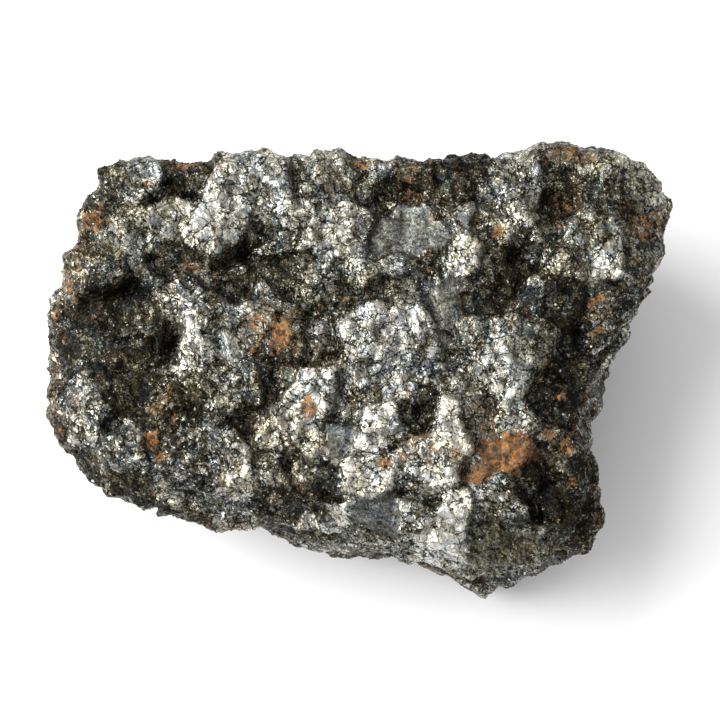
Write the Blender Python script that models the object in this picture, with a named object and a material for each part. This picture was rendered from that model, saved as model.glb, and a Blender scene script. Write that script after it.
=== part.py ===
"""A rough hand specimen of massive arsenopyrite ore: one broken block of stone.

The block is one closed surface over a box grid. A ray leaves the heart of the block through every grid
point. The nearest of the walls, the broken face and the underside stops it, which gives a plain block
with worn edges. The relief then moves each point along the block's own outward direction: hand-placed
facets, hollows and knobs on the broken face, random broken planes all over, and thin ledges on the left
flank. A level cut gives the flat spot that the stone rests on.

Lengths in the tables are in millimetres. The broken face is up, its length runs along X.
"""
import bpy
import numpy as np

MM = 0.001

# Driving sizes
FACE_HEIGHT = 43.0          # the mean broken face above the flat spot
HEART = np.array([-1.0, 4.0, 23.0])     # where the rays start
HALF_BOX = np.array([51.0, 37.0, 24.0])     # the box that spreads the rays evenly
UNDERSIDE = -0.8            # the underside before its low bumps are cut level at zero
EDGE_SHARPNESS = 22.0       # higher is a sharper edge between wall and face
FACE_FALL = np.array([0.020, 0.012])    # how the broken face falls towards the left and the front
FACE_TURN = (0.35, 0.85)    # upward share of the outward direction where the face begins and is full
BASE_TURN = (0.50, 0.95)    # the same for the underside, downward
BOX_MIDDLE = np.array([-0.4, 3.6, 0.0])  # middle of the finished stone, which the origin lies under
OUTLINE_GROWTH = 1.032      # gives back what the soft meeting of the walls takes off at the widest line
OUTLINE_BAND = 7.0          # how far from the widest line the walls keep the outline's small corners
OUTLINE_STEP = 3.0          # degrees between the places where the worn outline is worked out
CORNER_WEAR = 5             # how many of those steps to each side it is averaged over

# Fineness
GRID_STEPS = (132, 94, 62)
TRIANGLES = 9400

# The widest outline seen from above, counter-clockwise from the right: x, y
OUTLINE = [
    (43.9, 8.2), (44.5, 12.6), (46.8, 16.8), (50.1, 22.1), (50.4, 25.6), (51.6, 29.9),
    (50.4, 33.0), (47.4, 34.8), (43.0, 34.4), (41.0, 36.6), (36.5, 40.2), (33.5, 40.8),
    (30.5, 38.6), (27.7, 39.3), (24.0, 36.4), (12.0, 35.8), (0.0, 35.1), (-7.0, 34.9),
    (-10.0, 36.3), (-18.0, 36.5), (-23.0, 35.9), (-30.0, 36.0), (-36.0, 36.0), (-40.6, 35.2),
    (-42.4, 33.6), (-42.6, 31.5), (-45.2, 30.1), (-45.8, 27.4), (-47.5, 22.3), (-48.4, 17.9),
    (-50.8, 14.2), (-52.0, 10.4), (-52.5, 2.8), (-52.7, -1.6), (-51.6, -6.8), (-49.2, -10.0),
    (-47.3, -12.4), (-45.2, -16.2), (-42.1, -17.1), (-41.5, -18.7), (-35.9, -20.8),
    (-30.7, -21.5), (-26.3, -22.9), (-12.8, -22.3), (-9.6, -25.0), (0.0, -26.2), (5.3, -26.3),
    (14.9, -28.4), (18.7, -31.6), (20.4, -33.0), (24.0, -31.6), (26.0, -31.9), (27.6, -30.2),
    (33.8, -28.9), (39.3, -27.5), (40.6, -22.9), (38.6, -18.4), (38.3, -13.4), (36.0, -6.5),
    (36.6, -1.0), (40.2, 0.9), (43.4, 5.4),
]

# How the walls stand, round the stone: compass angle, height of the widest line, lean below, lean above
# A lean is the millimetres that the wall draws in for each millimetre away from its widest line.
WALLS = [
    (0, 33, 0.26, 0.30), (35, 35, 0.22, 0.22), (50, 28, 0.16, 0.34), (90, 38, 0.10, 0.25),
    (120, 36, 0.06, 0.30), (145, 34, 0.24, 0.30), (180, 27, 0.20, 0.42), (205, 30, 0.34, 0.55),
    (240, 30, 0.26, 0.50), (265, 27, 0.18, 0.35), (285, 18, 0.22, 0.12), (303, 9, 0.24, 0.02),
    (322, 22, 0.22, 0.16), (342, 30, 0.28, 0.25),
]

# Old fracture planes that bevel the walls down to the base: compass angle, dip, distance from the heart
LOWER_BREAKS = [
    (352, 34, 38.5), (62, 26, 42.0), (104, 14, 35.0), (146, 36, 43.5), (196, 36, 43.0), (236, 30, 35.0),
]

# The broken face: x, y, reach, height off the mean face, rise along x, rise along y
# A facet faces left where it rises along x, and faces the front where it rises along y.
FACETS = [
    (-47, 18, 3.0, -3.0, 0.35, 0.0),    # mottled strip of the left edge
    (-41, 31, 3.5, -0.5, 0.20, 0.1),    # corner knob at the back left
    (-44, 26, 2.6, -4.0, 0.30, 0.0),    # brown step below it
    (-36, 32, 4.0, 0.8, 0.00, 0.1),     # olive knobs
    (-33, 29.3, 1.7, -2.8, 0.00, 0.0),  # small black hollow
    (-27.5, 33, 2.2, -2.6, 0.00, 0.3),  # brown hollow at the back edge
    (-21, 31, 4.5, 1.6, 0.10, -0.1),    # silver knobs at the back
    (-31, 25, 4.0, 0.9, 0.20, 0.0),     # greenish slope
    (-24, 23, 4.5, 2.6, 0.05, -0.1),    # knob over the curved ledge
    (-38, 23, 3.5, -0.4, -0.15, 0.1),   # dark facet beside it
    (-35.5, 18.5, 2.2, -1.6, 0.10, 0.2),
    (-31, 18.6, 2.0, -2.2, 0.00, 0.2),  # foot of the curved ledge
    (-26, 17.6, 2.4, -2.8, 0.00, 0.1),
    (-21.5, 18.8, 2.0, -2.4, 0.00, 0.0),
    (-41, 16.5, 3.4, -0.6, 0.15, -0.2),  # olive facet over the slanting groove
    (-43.5, 9, 1.6, -4.2, 0.0, 0.0),    # slanting groove, three stretches
    (-40.5, 12.2, 1.5, -4.0, 0.0, 0.0),
    (-37.0, 14.8, 1.4, -3.4, 0.0, 0.0),
    (-47, 6, 3.2, -3.0, 0.40, 0.0),     # left strip beside the dark plane
    (-38, 7, 6.0, -2.0, -0.02, -0.05),  # the dark plane
    (-37, -1, 5.0, -2.4, 0.04, 0.05),
    (-31.0, 6, 1.5, -4.4, 0.0, 0.0),    # undercut at the foot of the bright band
    (-32.0, 2, 1.3, -3.4, 0.0, 0.0),
    (-27.6, 9, 2.6, 0.4, 0.90, 0.0),    # bright band, facing left
    (-27.5, 3.5, 2.8, -0.4, 0.60, 0.2),
    (-29, 14.5, 2.6, -0.8, 0.40, -0.2),
    (-22.5, 10, 3.0, 1.8, -0.20, 0.0),  # crown of the left knob
    (-22, 4, 2.6, 0.8, 0.00, 0.3),
    (-16.5, 8.5, 3.2, 1.8, 0.10, 0.1),  # cream facet
    (-12.3, 6.2, 3.0, 0.8, 0.20, 0.1),  # rusty facet
    (-15.0, 13.2, 2.2, 1.2, 0.10, 0.2),
    (-20, 14.5, 3.0, -1.2, -0.20, 0.1),  # olive floor behind the knob
    (-12, 16.5, 3.6, -1.6, 0.00, 0.0),
    (-8.5, 16.8, 2.2, -1.3, 0.20, 0.1),
    (-4, 13, 3.4, -1.4, 0.00, 0.1),
    (-6.3, 5.0, 1.6, -2.4, 0.0, 0.0),   # dark hollow right of the rust
    (-13, 22, 3.4, 0.8, 0.20, 0.0),
    (-8, 23.5, 2.6, 1.2, -0.20, 0.1),
    (-13.2, 29, 2.8, 1.6, 0.10, 0.0),   # silver knob at the back
    (-10.4, 29.5, 1.2, -2.2, 0.0, 0.0),  # upright dark groove
    (-6, 30, 3.6, 0.6, -0.10, 0.0),
    (-1.5, 23.5, 3.6, 1.2, 0.10, 0.1),
    (0, 31, 3.0, 0.2, 0.0, 0.1),
    (3.8, 28.5, 1.7, -3.0, 0.0, 0.0),   # black wedge
    (8.5, 23.2, 4.6, -0.6, 0.02, 0.06),  # smooth blue-grey facet
    (9.0, 29.8, 2.8, 0.9, 0.0, 0.45),   # its brown head
    (13.0, 26.8, 1.8, -0.2, -0.3, 0.0),
    (16.7, 25.5, 2.0, 1.3, 0.1, 0.0),   # silver crystal lump
    (17.0, 31, 3.4, 0.3, 0.0, 0.1),
    (21.5, 25.5, 2.8, -0.9, 0.1, 0.2),  # olive facet with a feather crystal
    (22.0, 30.5, 2.6, 0.6, 0.0, 0.1),
    (17.4, 18.2, 3.0, 1.8, 0.25, 0.0),  # pale silver patch
    (6.0, 18.0, 3.0, 0.5, 0.1, 0.1),
    (1.5, 17.0, 2.8, 0.3, 0.2, 0.0),
    (12.0, 18.3, 2.4, -0.8, -0.2, 0.0),
    (4.5, 13.5, 3.0, -1.7, 0.0, -0.05),  # olive trough
    (9.5, 14.0, 2.4, -1.5, 0.0, 0.0),
    (14.0, 12.0, 3.0, -0.6, 0.12, 0.10),  # three-cornered facet, grey half
    (20.0, 12.0, 3.4, -1.4, -0.22, 0.10),  # three-cornered facet, dark half
    (24.5, 14.5, 2.2, -1.6, -0.1, 0.0),
    (26.8, 18.8, 1.8, -3.4, 0.0, 0.0),  # black slot
    (22.0, 17.5, 2.2, -1.0, -0.2, 0.0),
    (27.0, 23.5, 3.2, 0.9, 0.1, 0.1),
    (26.5, 31.0, 3.4, 1.0, 0.1, 0.0),
    (33.2, 28.0, 2.0, -2.8, 0.0, 0.1),  # brown hollow
    (31.0, 24.0, 2.0, -1.2, 0.1, 0.0),
    (34.0, 33.0, 3.2, -0.2, -0.1, 0.0),
    (37.3, 23.2, 3.4, 1.5, 0.12, 0.05),  # smooth silver-green facet
    (33.5, 17.0, 2.6, 0.9, 0.2, 0.0),
    (40.2, 18.0, 3.2, 1.6, 0.22, 0.0),
    (41.0, 29.5, 3.4, 0.4, -0.05, 0.0),
    (45.5, 30.5, 3.4, -0.8, -0.20, 0.0),
    (47.0, 25.0, 2.8, -2.6, -0.50, 0.0),
    (45.5, 18.5, 3.0, -1.8, -0.40, 0.0),
    (39.0, 12.0, 2.6, -1.6, 0.0, 0.1),
    (40.0, 7.0, 2.8, -1.8, -0.20, 0.1),
    (33.0, 11.5, 3.6, -0.2, 0.0, 0.1),
    (28.5, 12.5, 2.4, 0.5, 0.1, 0.0),
    (35.5, 2.8, 3.2, -2.2, 0.0, -0.1),  # olive hollow
    (27.5, 5.5, 3.6, 1.0, -0.05, 0.1),
    (20.0, 6.5, 3.4, 1.1, 0.05, 0.1),
    (14.6, 4.0, 1.2, -1.4, 0.0, 0.0),   # upright crack
    (6.0, 8.5, 5.0, 1.6, 0.10, 0.05),   # the wide pale rise
    (0.5, 6.5, 3.4, 1.2, 0.30, 0.0),
    (6.0, 3.6, 3.4, 1.0, 0.0, 0.1),
    (11.0, 3.0, 2.6, 1.2, -0.1, 0.0),
    (8.0, -1.5, 3.2, 0.8, 0.05, 0.1),
    (2.0, -2.0, 3.0, 0.4, 0.1, 0.0),
    (-7.5, -4.5, 3.6, 2.3, 0.15, 0.0),  # silver knob with rust
    (-12.5, -9.5, 3.2, 1.2, 0.30, 0.1),
    (-19, -2.5, 3.6, 0.8, 0.0, 0.1),    # dark knobs
    (-25, -4.0, 3.6, 0.2, 0.1, 0.0),
    (-14.0, -1.5, 1.4, -2.4, 0.0, 0.0),  # groove between knobs
    (-17.0, -7.5, 1.8, -1.6, 0.1, 0.0),
    (-31.5, -4.5, 3.0, -1.2, 0.2, 0.0),
    (-43.5, -5.5, 3.2, -0.6, 0.15, 0.1),  # silver cream patch
    (-40.8, -8.0, 1.3, -2.8, 0.0, 0.0),
    (-37.0, -11.3, 3.0, -0.2, 0.1, 0.1),  # smooth grey facet
    (-33.0, -11.0, 2.2, -1.0, 0.2, 0.1),  # red rust
    (-42.0, -12.8, 3.0, -1.6, 0.3, 0.2),
    (-36.5, -17.5, 3.4, -3.0, 0.1, 0.45),
    (-31.5, -19.0, 2.8, -2.4, 0.0, 0.50),  # cream crystals
    (-27.0, -20.0, 2.6, -3.0, -0.1, 0.45),
    (-23, -13.0, 3.6, 0.0, 0.1, 0.1),
    (-19.5, -17.0, 3.0, 0.2, 0.1, 0.2),
    (-20.5, -22.0, 3.0, -3.6, 0.0, 0.8),  # dark front bevel
    (-14.0, -22.0, 2.8, -3.6, 0.0, 0.7),
    (-14.5, -15.5, 1.8, -1.0, 0.0, 0.0),
    (-9.4, -14.6, 1.0, -2.6, 0.0, 0.0),  # small dark pit
    (-6.5, -18.8, 2.2, -2.0, 0.0, 0.1),  # olive hollow
    (-8.0, -11.5, 2.6, 1.0, 0.1, 0.1),
    (-2.8, -11.0, 2.2, 0.3, 0.0, 0.05),  # smooth strip
    (-2.2, -6.5, 1.9, -1.2, 0.0, 0.0),
    (3.0, -7.6, 2.4, 2.3, 0.15, 0.1),   # heart-shaped knob
    (2.0, -14.5, 3.6, 1.2, 0.0, 0.1),
    (9.8, -7.2, 1.8, -1.4, 0.1, 0.0),   # olive hollow
    (8.0, -13.5, 3.0, 0.9, 0.1, 0.1),
    (14.2, -8.5, 2.4, 2.4, 0.30, 0.0),  # pale upright crest
    (14.6, -14.0, 2.4, 1.9, 0.30, 0.1),
    (19.3, -7.8, 2.4, -0.6, -0.80, 0.0),  # dark slope right of the crest
    (24.8, -7.2, 2.6, 0.4, 0.1, 0.1),
    (23.5, -12.5, 2.8, -0.8, 0.1, 0.2),  # orange rust
    (19.5, -16.5, 2.0, -1.0, 0.1, 0.2),
    (24.0, -2.8, 2.6, 1.5, 0.0, 0.1),   # silver streak
    (18.5, -2.0, 2.4, 0.8, 0.0, 0.1),
    (31.5, -4.5, 2.8, -2.6, -0.1, 0.0),  # black crystals
    (34.5, -8.0, 2.4, -3.2, -0.2, 0.0),
    (33.0, -12.0, 2.6, -2.0, -0.1, 0.1),
    (36.5, -16.0, 2.4, -3.6, -0.4, 0.0),
    (28.0, -17.5, 2.0, -5.0, -0.3, 0.0),  # the black cavity
    (31.5, -20.5, 3.2, -7.5, 0.0, 0.1),
    (35.0, -22.0, 2.0, -6.0, 0.1, 0.0),
    (22.5, -20.5, 3.6, -0.4, 0.30, 0.35),  # lit three-cornered facet
    (14.5, -20.0, 3.0, 1.2, 0.2, 0.2),
    (8.5, -23.5, 3.0, 0.2, 0.15, 0.3),
    (3.0, -22.8, 3.4, -0.8, 0.0, 0.2),  # smooth grey-green facet
    (2.0, -18.8, 2.4, 0.8, 0.1, 0.3),
    (9.0, -19.0, 2.2, 0.6, 0.0, 0.2),
    (-5.5, -25.0, 3.2, -2.2, 0.1, 0.5),  # silver knob at the front
    (1.5, -26.5, 2.4, -2.6, 0.0, 0.5),
    (13.0, -26.5, 2.8, -2.0, 0.1, 0.4),
    (22.0, -26.8, 3.2, -4.6, 0.0, 0.25),  # smooth olive ledge
    (30.5, -27.0, 2.8, -5.2, 0.0, 0.25),
    (37.5, -26.0, 2.2, -6.0, -0.3, 0.2),
]
FACE_DEPTH = 0.80           # how strongly the heights and rises above show
FACET_BLEND = 2.4           # square millimetres, the softness of the steps between facets
FACET_LIMIT = 3.2           # most that a facet's slope may add or take
RAGGED_EDGE = 0.9           # how far noise pushes the facets' borders about
RAGGED_SIZES = (5.0, 1.9)   # the sizes of its wide and its narrow waves
RAGGED_FINE = 0.4           # the narrow waves' share

# Creased fracture planes: size, depth, three turns in degrees that set how the creases lie
CREASE_BEND = 0.22          # how far noise bends the creases, as a share of their size
CREASES = [(21.0, 3.4, (31, 17, 52)), (9.5, 2.0, (-24, 48, 15)), (4.4, 1.15, (11, -35, 70))]
FACE_CREASES = (0.12, 0.60, 1.00)   # shares of the creases left on the hand-placed face
WAIST_CREASES = (0.12, 0.20, 1.00)  # shares left at the widest line, to keep the outline

# Random steps: size of a plane, its step, its tilt, and how steeply one gives way to the next
STEPS = (7.0, 1.3, 0.16)
STEP_CRISPNESS = 26.0
FACE_STEPS = 0.25           # share of the random steps left on the hand-placed face

# Thin ledges of the laminated left flank
LEDGE_ENDS = (-46.0, -36.0)     # where along x they begin to fade and are gone
LEDGE_PITCH = 2.6
LEDGE_DEPTH = 0.5
LEDGE_DIP = np.array([0.30, 0.18, 0.93])    # upright to the layers
LEDGE_WAVE = (9.0, 1.2)     # size and height of the waves in the layers

SURFACE_NOISE = (3.0, 0.35)     # size and height of the small unevenness all over
BASE_WEAR = 0.65            # share of the relief worn off the underside

# The block that cuts the flat spot reaches past the stone by its half length, half width and depth
CUTTER = (80.0, 70.0, 12.0)

# Steady random numbers
CELL_FACTORS = np.array([73856093, 19349663, 83492791])
SEED_FACTOR = 40503
NEXT_NUMBER = np.uint32(0x9E3779B9)
WORD = 2 ** 32
NOISE_GAIN = 1.4            # brings the soft noise near its full range


def scrambled(keys):
    """Whole numbers turned into unrelated ones, by shifts and wrapping products."""
    keys = (keys ^ (keys >> np.uint32(16))) * np.uint32(0x7FEB352D)
    keys = (keys ^ (keys >> np.uint32(15))) * np.uint32(0x846CA68B)
    return keys ^ (keys >> np.uint32(16))


def cell_numbers(cells, seed, count):
    """As many steady random numbers from 0 to 1 as asked for, for each cell of a whole-number lattice."""
    products = cells.astype(np.int64) * CELL_FACTORS
    keys = products[:, 0] ^ products[:, 1] ^ products[:, 2] ^ (seed * SEED_FACTOR)
    keys = (keys % WORD).astype(np.uint32)
    columns = []
    for _ in range(count):
        keys = scrambled(keys + NEXT_NUMBER)
        columns.append(keys / WORD)
    return np.stack(columns, axis=1)


def lattice_shifts(low, high):
    """Every whole-number step from low up to high along three axes."""
    steps = np.arange(low, high)
    return np.stack(np.meshgrid(steps, steps, steps, indexing="ij"), axis=-1).reshape(-1, 3)


def soft_noise(points, size, seed):
    """Smooth noise from -1 to 1: random slopes at the corners of a lattice, blended by a smooth step."""
    scaled = points / size
    home = np.floor(scaled)
    inner = scaled - home
    ease = inner * inner * inner * (inner * (inner * 6.0 - 15.0) + 10.0)
    total = np.zeros(len(points))
    for shift in lattice_shifts(0, 2):
        slopes = cell_numbers(home + shift, seed, 3) * 2.0 - 1.0
        share = np.where(shift == 1, ease, 1.0 - ease).prod(axis=1)
        total += share * (slopes * (inner - shift)).sum(axis=1)
    return total * NOISE_GAIN


def broken_planes(points, size, step, tilt, seed):
    """Random tilted planes round the jittered points of a lattice, the nearest plane showing most.

    Each plane has a height of its own within the step and a slope within the tilt. The weights fall off
    as exp(-crispness * squared distance), so the steps between planes are short and steep.
    """
    scaled = points / size
    home = np.floor(scaled)
    height = np.zeros(len(points))
    weight = np.zeros(len(points))
    for shift in lattice_shifts(-1, 2):
        cell = home + shift
        numbers = cell_numbers(cell, seed, 7)
        gap = scaled - cell - numbers[:, 0:3]
        share = np.exp(-STEP_CRISPNESS * (gap * gap).sum(axis=1))
        slope = (numbers[:, 3:6] * 2.0 - 1.0) * tilt * size
        height += share * ((numbers[:, 6] - 0.5) * step + (slope * gap).sum(axis=1))
        weight += share
    return height / weight


def turned(points, degrees):
    """Points turned about X, then Y, then Z."""
    for axis, angle in enumerate(np.radians(degrees)):
        first, second = (axis + 1) % 3, (axis + 2) % 3
        spun = points.copy()
        spun[:, first] = points[:, first] * np.cos(angle) - points[:, second] * np.sin(angle)
        spun[:, second] = points[:, first] * np.sin(angle) + points[:, second] * np.cos(angle)
        points = spun
    return points


def creased_planes(points, size, turns, seed):
    """Flat faces meeting at sharp creases, from -1 to 1.

    Each cube of a turned lattice is parted in six wedges by the order of a point's three inner
    coordinates, and the height is the straight blend of the random heights at a wedge's four corners.
    """
    bend = np.column_stack([soft_noise(points, size, seed + k) for k in (1, 2, 3)])
    scaled = turned(points + CREASE_BEND * size * bend, turns) / size
    home = np.floor(scaled)
    inner = scaled - home
    order = np.argsort(-inner, axis=1)
    ranked = -np.sort(-inner, axis=1)
    corner = home.copy()
    height = (1.0 - ranked[:, 0]) * cell_numbers(corner, seed, 1)[:, 0]
    for turn in range(3):
        corner[np.arange(len(points)), order[:, turn]] += 1.0
        share = ranked[:, turn] - (ranked[:, turn + 1] if turn < 2 else 0.0)
        height += share * cell_numbers(corner, seed, 1)[:, 0]
    return height * 2.0 - 1.0


def smooth_step(values, low, high):
    """0 below low, 1 above high, and an even curve between them."""
    share = np.clip((values - low) / (high - low), 0.0, 1.0)
    return share * share * (3.0 - 2.0 * share)


def box_grid(steps):
    """A closed grid over a box from -1 to 1: its points, and its four-cornered faces facing out."""
    patches = []
    for axis in range(3):
        across, up = (axis + 1) % 3, (axis + 2) % 3
        u, v = np.meshgrid(np.arange(steps[across] + 1), np.arange(steps[up] + 1), indexing="ij")
        for side in (0, 1):
            patch = np.empty(u.shape + (3,), int)
            patch[..., axis] = side * steps[axis]
            patch[..., across] = u
            patch[..., up] = v
            patches.append(patch if side else patch.swapaxes(0, 1))
    quads = [
        np.stack([patch[:-1, :-1], patch[1:, :-1], patch[1:, 1:], patch[:-1, 1:]], axis=2).reshape(-1, 3)
        for patch in patches
    ]
    lattice, index = np.unique(np.concatenate(quads), axis=0, return_inverse=True)
    return lattice * 2.0 / np.array(steps) - 1.0, index.reshape(-1, 4)


def round_table(angles, rows):
    """The columns of a table of compass angles, read smoothly at each angle in degrees."""
    table = np.array(rows, float)
    return [np.interp(angles, table[:, 0], column, period=360.0) for column in table.T[1:]]


def outline_radius(around):
    """The outline's distance from the heart at each compass angle, sharp and worn."""
    corners = np.array(OUTLINE) - HEART[:2]
    corner_angles = np.degrees(np.arctan2(corners[:, 1], corners[:, 0]))
    reach = np.hypot(corners[:, 0], corners[:, 1])
    sharp = np.interp(around, corner_angles, reach, period=360.0)
    steps = np.arange(0.0, 360.0, OUTLINE_STEP)
    stepped = np.interp(steps, corner_angles, reach, period=360.0)
    shifts = range(-CORNER_WEAR, CORNER_WEAR + 1)
    worn = np.mean([np.roll(stepped, shift) for shift in shifts], axis=0)
    return sharp, np.interp(around, steps, worn, period=360.0)


def plain_block(rays):
    """The block before its relief: points, outward directions, rise from waist to face, nearness to waist.

    Each ray is stopped by the walls, the face and the underside at distances d. The point lies at
    (sum of d ** -sharpness) ** (-1 / sharpness), just inside the nearest of them.
    """
    around = np.degrees(np.arctan2(rays[:, 1], rays[:, 0]))
    outward = np.hypot(rays[:, 0], rays[:, 1])
    waist, lean_below, lean_above = round_table(around, WALLS)
    sharp, worn = outline_radius(around)
    from_waist = (HEART[2] + worn * rays[:, 2] / np.maximum(outward, 0.05) - waist) / OUTLINE_BAND
    near_waist = np.exp(-from_waist * from_waist)
    radius = OUTLINE_GROWTH * (worn + (sharp - worn) * near_waist)

    level = rays[:, :2] / np.maximum(outward, 1e-6)[:, None]
    still = np.zeros(len(rays))
    one = np.ones(len(rays))
    face_rise = FACE_FALL * one[:, None]
    sides = [
        (np.column_stack([level, -lean_below]), radius + lean_below * (HEART[2] - waist)),
        (np.column_stack([level, lean_above]), radius + lean_above * (waist - HEART[2])),
        (np.column_stack([-face_rise, one]), (FACE_HEIGHT - HEART[2]) * one),
        (np.column_stack([still, still, -one]), (HEART[2] - UNDERSIDE) * one),
    ]
    for compass, dip, distance in LOWER_BREAKS:
        turn, drop = np.radians(compass), np.radians(dip)
        plane = np.array([np.cos(turn) * np.cos(drop), np.sin(turn) * np.cos(drop), -np.sin(drop)])
        sides.append((plane * one[:, None], distance * one))
    shares = []
    for direction, distance in sides:
        closing = (direction * rays).sum(axis=1)
        shares.append(np.where(closing > 1e-4, np.maximum(closing, 1e-4) / distance, 0.0) ** EDGE_SHARPNESS)
    total = sum(shares)
    points = HEART + rays * total[:, None] ** (-1.0 / EDGE_SHARPNESS)
    normals = sum(share[:, None] * direction for share, (direction, _) in zip(shares, sides))
    normals /= np.linalg.norm(normals, axis=1)[:, None]
    rise = np.clip((points[:, 2] - waist) / (FACE_HEIGHT - waist), 0.0, 1.0)
    return points, normals, rise, near_waist


def placed_facets(points):
    """Height of the hand-placed facets: the plane whose seed is nearest, less its reach, shows most."""
    wide, narrow = RAGGED_SIZES
    ragged = np.column_stack([soft_noise(points, wide, 31), soft_noise(points, wide, 32)])
    ragged += RAGGED_FINE * np.column_stack([soft_noise(points, narrow, 33), soft_noise(points, narrow, 34)])
    place = points[:, :2] + RAGGED_EDGE * ragged
    seeds = np.array(FACETS, float)
    nearest = np.full(len(points), np.inf)
    for x, y, reach, *_ in seeds:
        nearest = np.minimum(nearest, (place[:, 0] - x) ** 2 + (place[:, 1] - y) ** 2 - reach ** 2)
    height = np.zeros(len(points))
    weight = np.zeros(len(points))
    for x, y, reach, lift, rise_x, rise_y in seeds:
        span = (place[:, 0] - x) ** 2 + (place[:, 1] - y) ** 2 - reach ** 2
        share = np.exp(-(span - nearest) / FACET_BLEND)
        slope = rise_x * (points[:, 0] - x) + rise_y * (points[:, 1] - y)
        height += share * (lift + np.clip(slope, -FACET_LIMIT, FACET_LIMIT))
        weight += share
    return FACE_DEPTH * height / weight


def thin_ledges(points):
    """Saw-toothed ledges along the layers of the left flank, fading out to the right."""
    along = points @ (LEDGE_DIP / np.linalg.norm(LEDGE_DIP))
    wave_size, wave_height = LEDGE_WAVE
    along = along + wave_height * soft_noise(points, wave_size, 41)
    tooth = along / LEDGE_PITCH - np.floor(along / LEDGE_PITCH)
    fade = 1.0 - smooth_step(points[:, 0], *LEDGE_ENDS)
    return LEDGE_DEPTH * fade * (tooth - 0.5)


def stone_points(rays):
    """Where each ray meets the finished stone, in millimetres."""
    points, normals, rise, near_waist = plain_block(rays)
    on_face = smooth_step(normals[:, 2], *FACE_TURN)
    off_face = 1.0 - on_face
    relief = broken_planes(points, *STEPS, seed=12) * (off_face + FACE_STEPS * on_face)
    for (size, depth, turns), face_share, waist_share in zip(CREASES, FACE_CREASES, WAIST_CREASES):
        creases = depth * creased_planes(points, size, turns, seed=int(size * 10))
        wall_share = 1.0 - (1.0 - waist_share) * near_waist
        relief += creases * (off_face * wall_share + on_face * face_share)
    relief += thin_ledges(points) * off_face
    noise_size, noise_height = SURFACE_NOISE
    relief += noise_height * soft_noise(points, noise_size, 13)
    relief *= 1.0 - BASE_WEAR * smooth_step(-normals[:, 2], *BASE_TURN)
    points = points + normals * relief[:, None]
    points[:, 2] += placed_facets(points) * rise
    return points - BOX_MIDDLE


def stone_material():
    """Dull silver-grey metallic ore."""
    material = bpy.data.materials.new("arsenopyrite_ore")
    material.use_nodes = True
    shader = material.node_tree.nodes["Principled BSDF"]
    shader.inputs["Base Color"].default_value = (0.24, 0.235, 0.22, 1.0)
    shader.inputs["Metallic"].default_value = 0.6
    shader.inputs["Roughness"].default_value = 0.5
    return material


def level_cutter():
    """A block under the floor line, wider than the stone, which cuts the flat resting spot."""
    mesh = bpy.data.meshes.new("floor_cut")
    x, y, depth = [size * MM for size in CUTTER]
    corners = [(-x, -y), (x, -y), (x, y), (-x, y)]
    points = [(cx, cy, -depth) for cx, cy in corners] + [(cx, cy, 0.0) for cx, cy in corners]
    faces = [(3, 2, 1, 0), (4, 5, 6, 7), (0, 1, 5, 4), (1, 2, 6, 5), (2, 3, 7, 6), (3, 0, 4, 7)]
    mesh.from_pydata(points, [], faces)
    cutter = bpy.data.objects.new("floor_cut", mesh)
    cutter.hide_render = True
    cutter.display_type = "WIRE"
    bpy.context.collection.objects.link(cutter)
    return cutter


def ore_stone():
    """The whole specimen: the grid over its surface, thinned to flat facets and cut level below.

    The grid's points are kept to whole micrometres.
    """
    grid, faces = box_grid(GRID_STEPS)
    rays = grid * HALF_BOX
    rays /= np.linalg.norm(rays, axis=1)[:, None]
    points = np.round(stone_points(rays), 3) * MM
    mesh = bpy.data.meshes.new("ore_stone")
    mesh.from_pydata(points.tolist(), [], faces.tolist())
    mesh.update()
    mesh.materials.append(stone_material())
    stone = bpy.data.objects.new("ore_stone", mesh)
    bpy.context.collection.objects.link(stone)

    thin = stone.modifiers.new("broken_facets", "DECIMATE")
    thin.ratio = TRIANGLES / (2.0 * len(faces))
    thin.use_collapse_triangulate = True
    flat = stone.modifiers.new("resting_spot", "BOOLEAN")
    flat.operation = "DIFFERENCE"
    flat.object = level_cutter()
    return stone


for old in list(bpy.data.objects):
    bpy.data.objects.remove(old, do_unlink=True)

ore_stone()
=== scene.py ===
"""The finish of a rough hand specimen of arsenopyrite ore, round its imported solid.

The skin repeats the solid's own formula on a finer grid and adds the creases that are too small for the
solid, and the grooves. Over it lie some seventy thousand roof-shaped crystals, the grains of the ore. Both
take their colours from finishes that are named facet by facet in the table below.

Lengths in the tables are in millimetres. The broken face is up, its length runs along X.
"""
import math
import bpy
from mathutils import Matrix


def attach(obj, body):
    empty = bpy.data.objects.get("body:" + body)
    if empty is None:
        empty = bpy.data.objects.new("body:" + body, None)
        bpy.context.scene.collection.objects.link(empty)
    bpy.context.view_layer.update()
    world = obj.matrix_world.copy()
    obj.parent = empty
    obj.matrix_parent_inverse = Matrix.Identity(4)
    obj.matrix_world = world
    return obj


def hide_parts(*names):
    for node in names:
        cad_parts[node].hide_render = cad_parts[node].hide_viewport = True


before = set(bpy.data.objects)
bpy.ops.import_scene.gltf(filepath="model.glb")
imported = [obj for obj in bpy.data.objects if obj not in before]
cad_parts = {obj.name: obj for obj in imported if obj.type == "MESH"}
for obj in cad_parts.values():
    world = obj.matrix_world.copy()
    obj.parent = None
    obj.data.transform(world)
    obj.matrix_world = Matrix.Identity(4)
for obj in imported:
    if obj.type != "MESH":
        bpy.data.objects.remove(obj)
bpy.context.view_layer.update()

from types import SimpleNamespace

import bpy
import numpy as np
from mathutils import Vector

MM = 0.001

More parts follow.
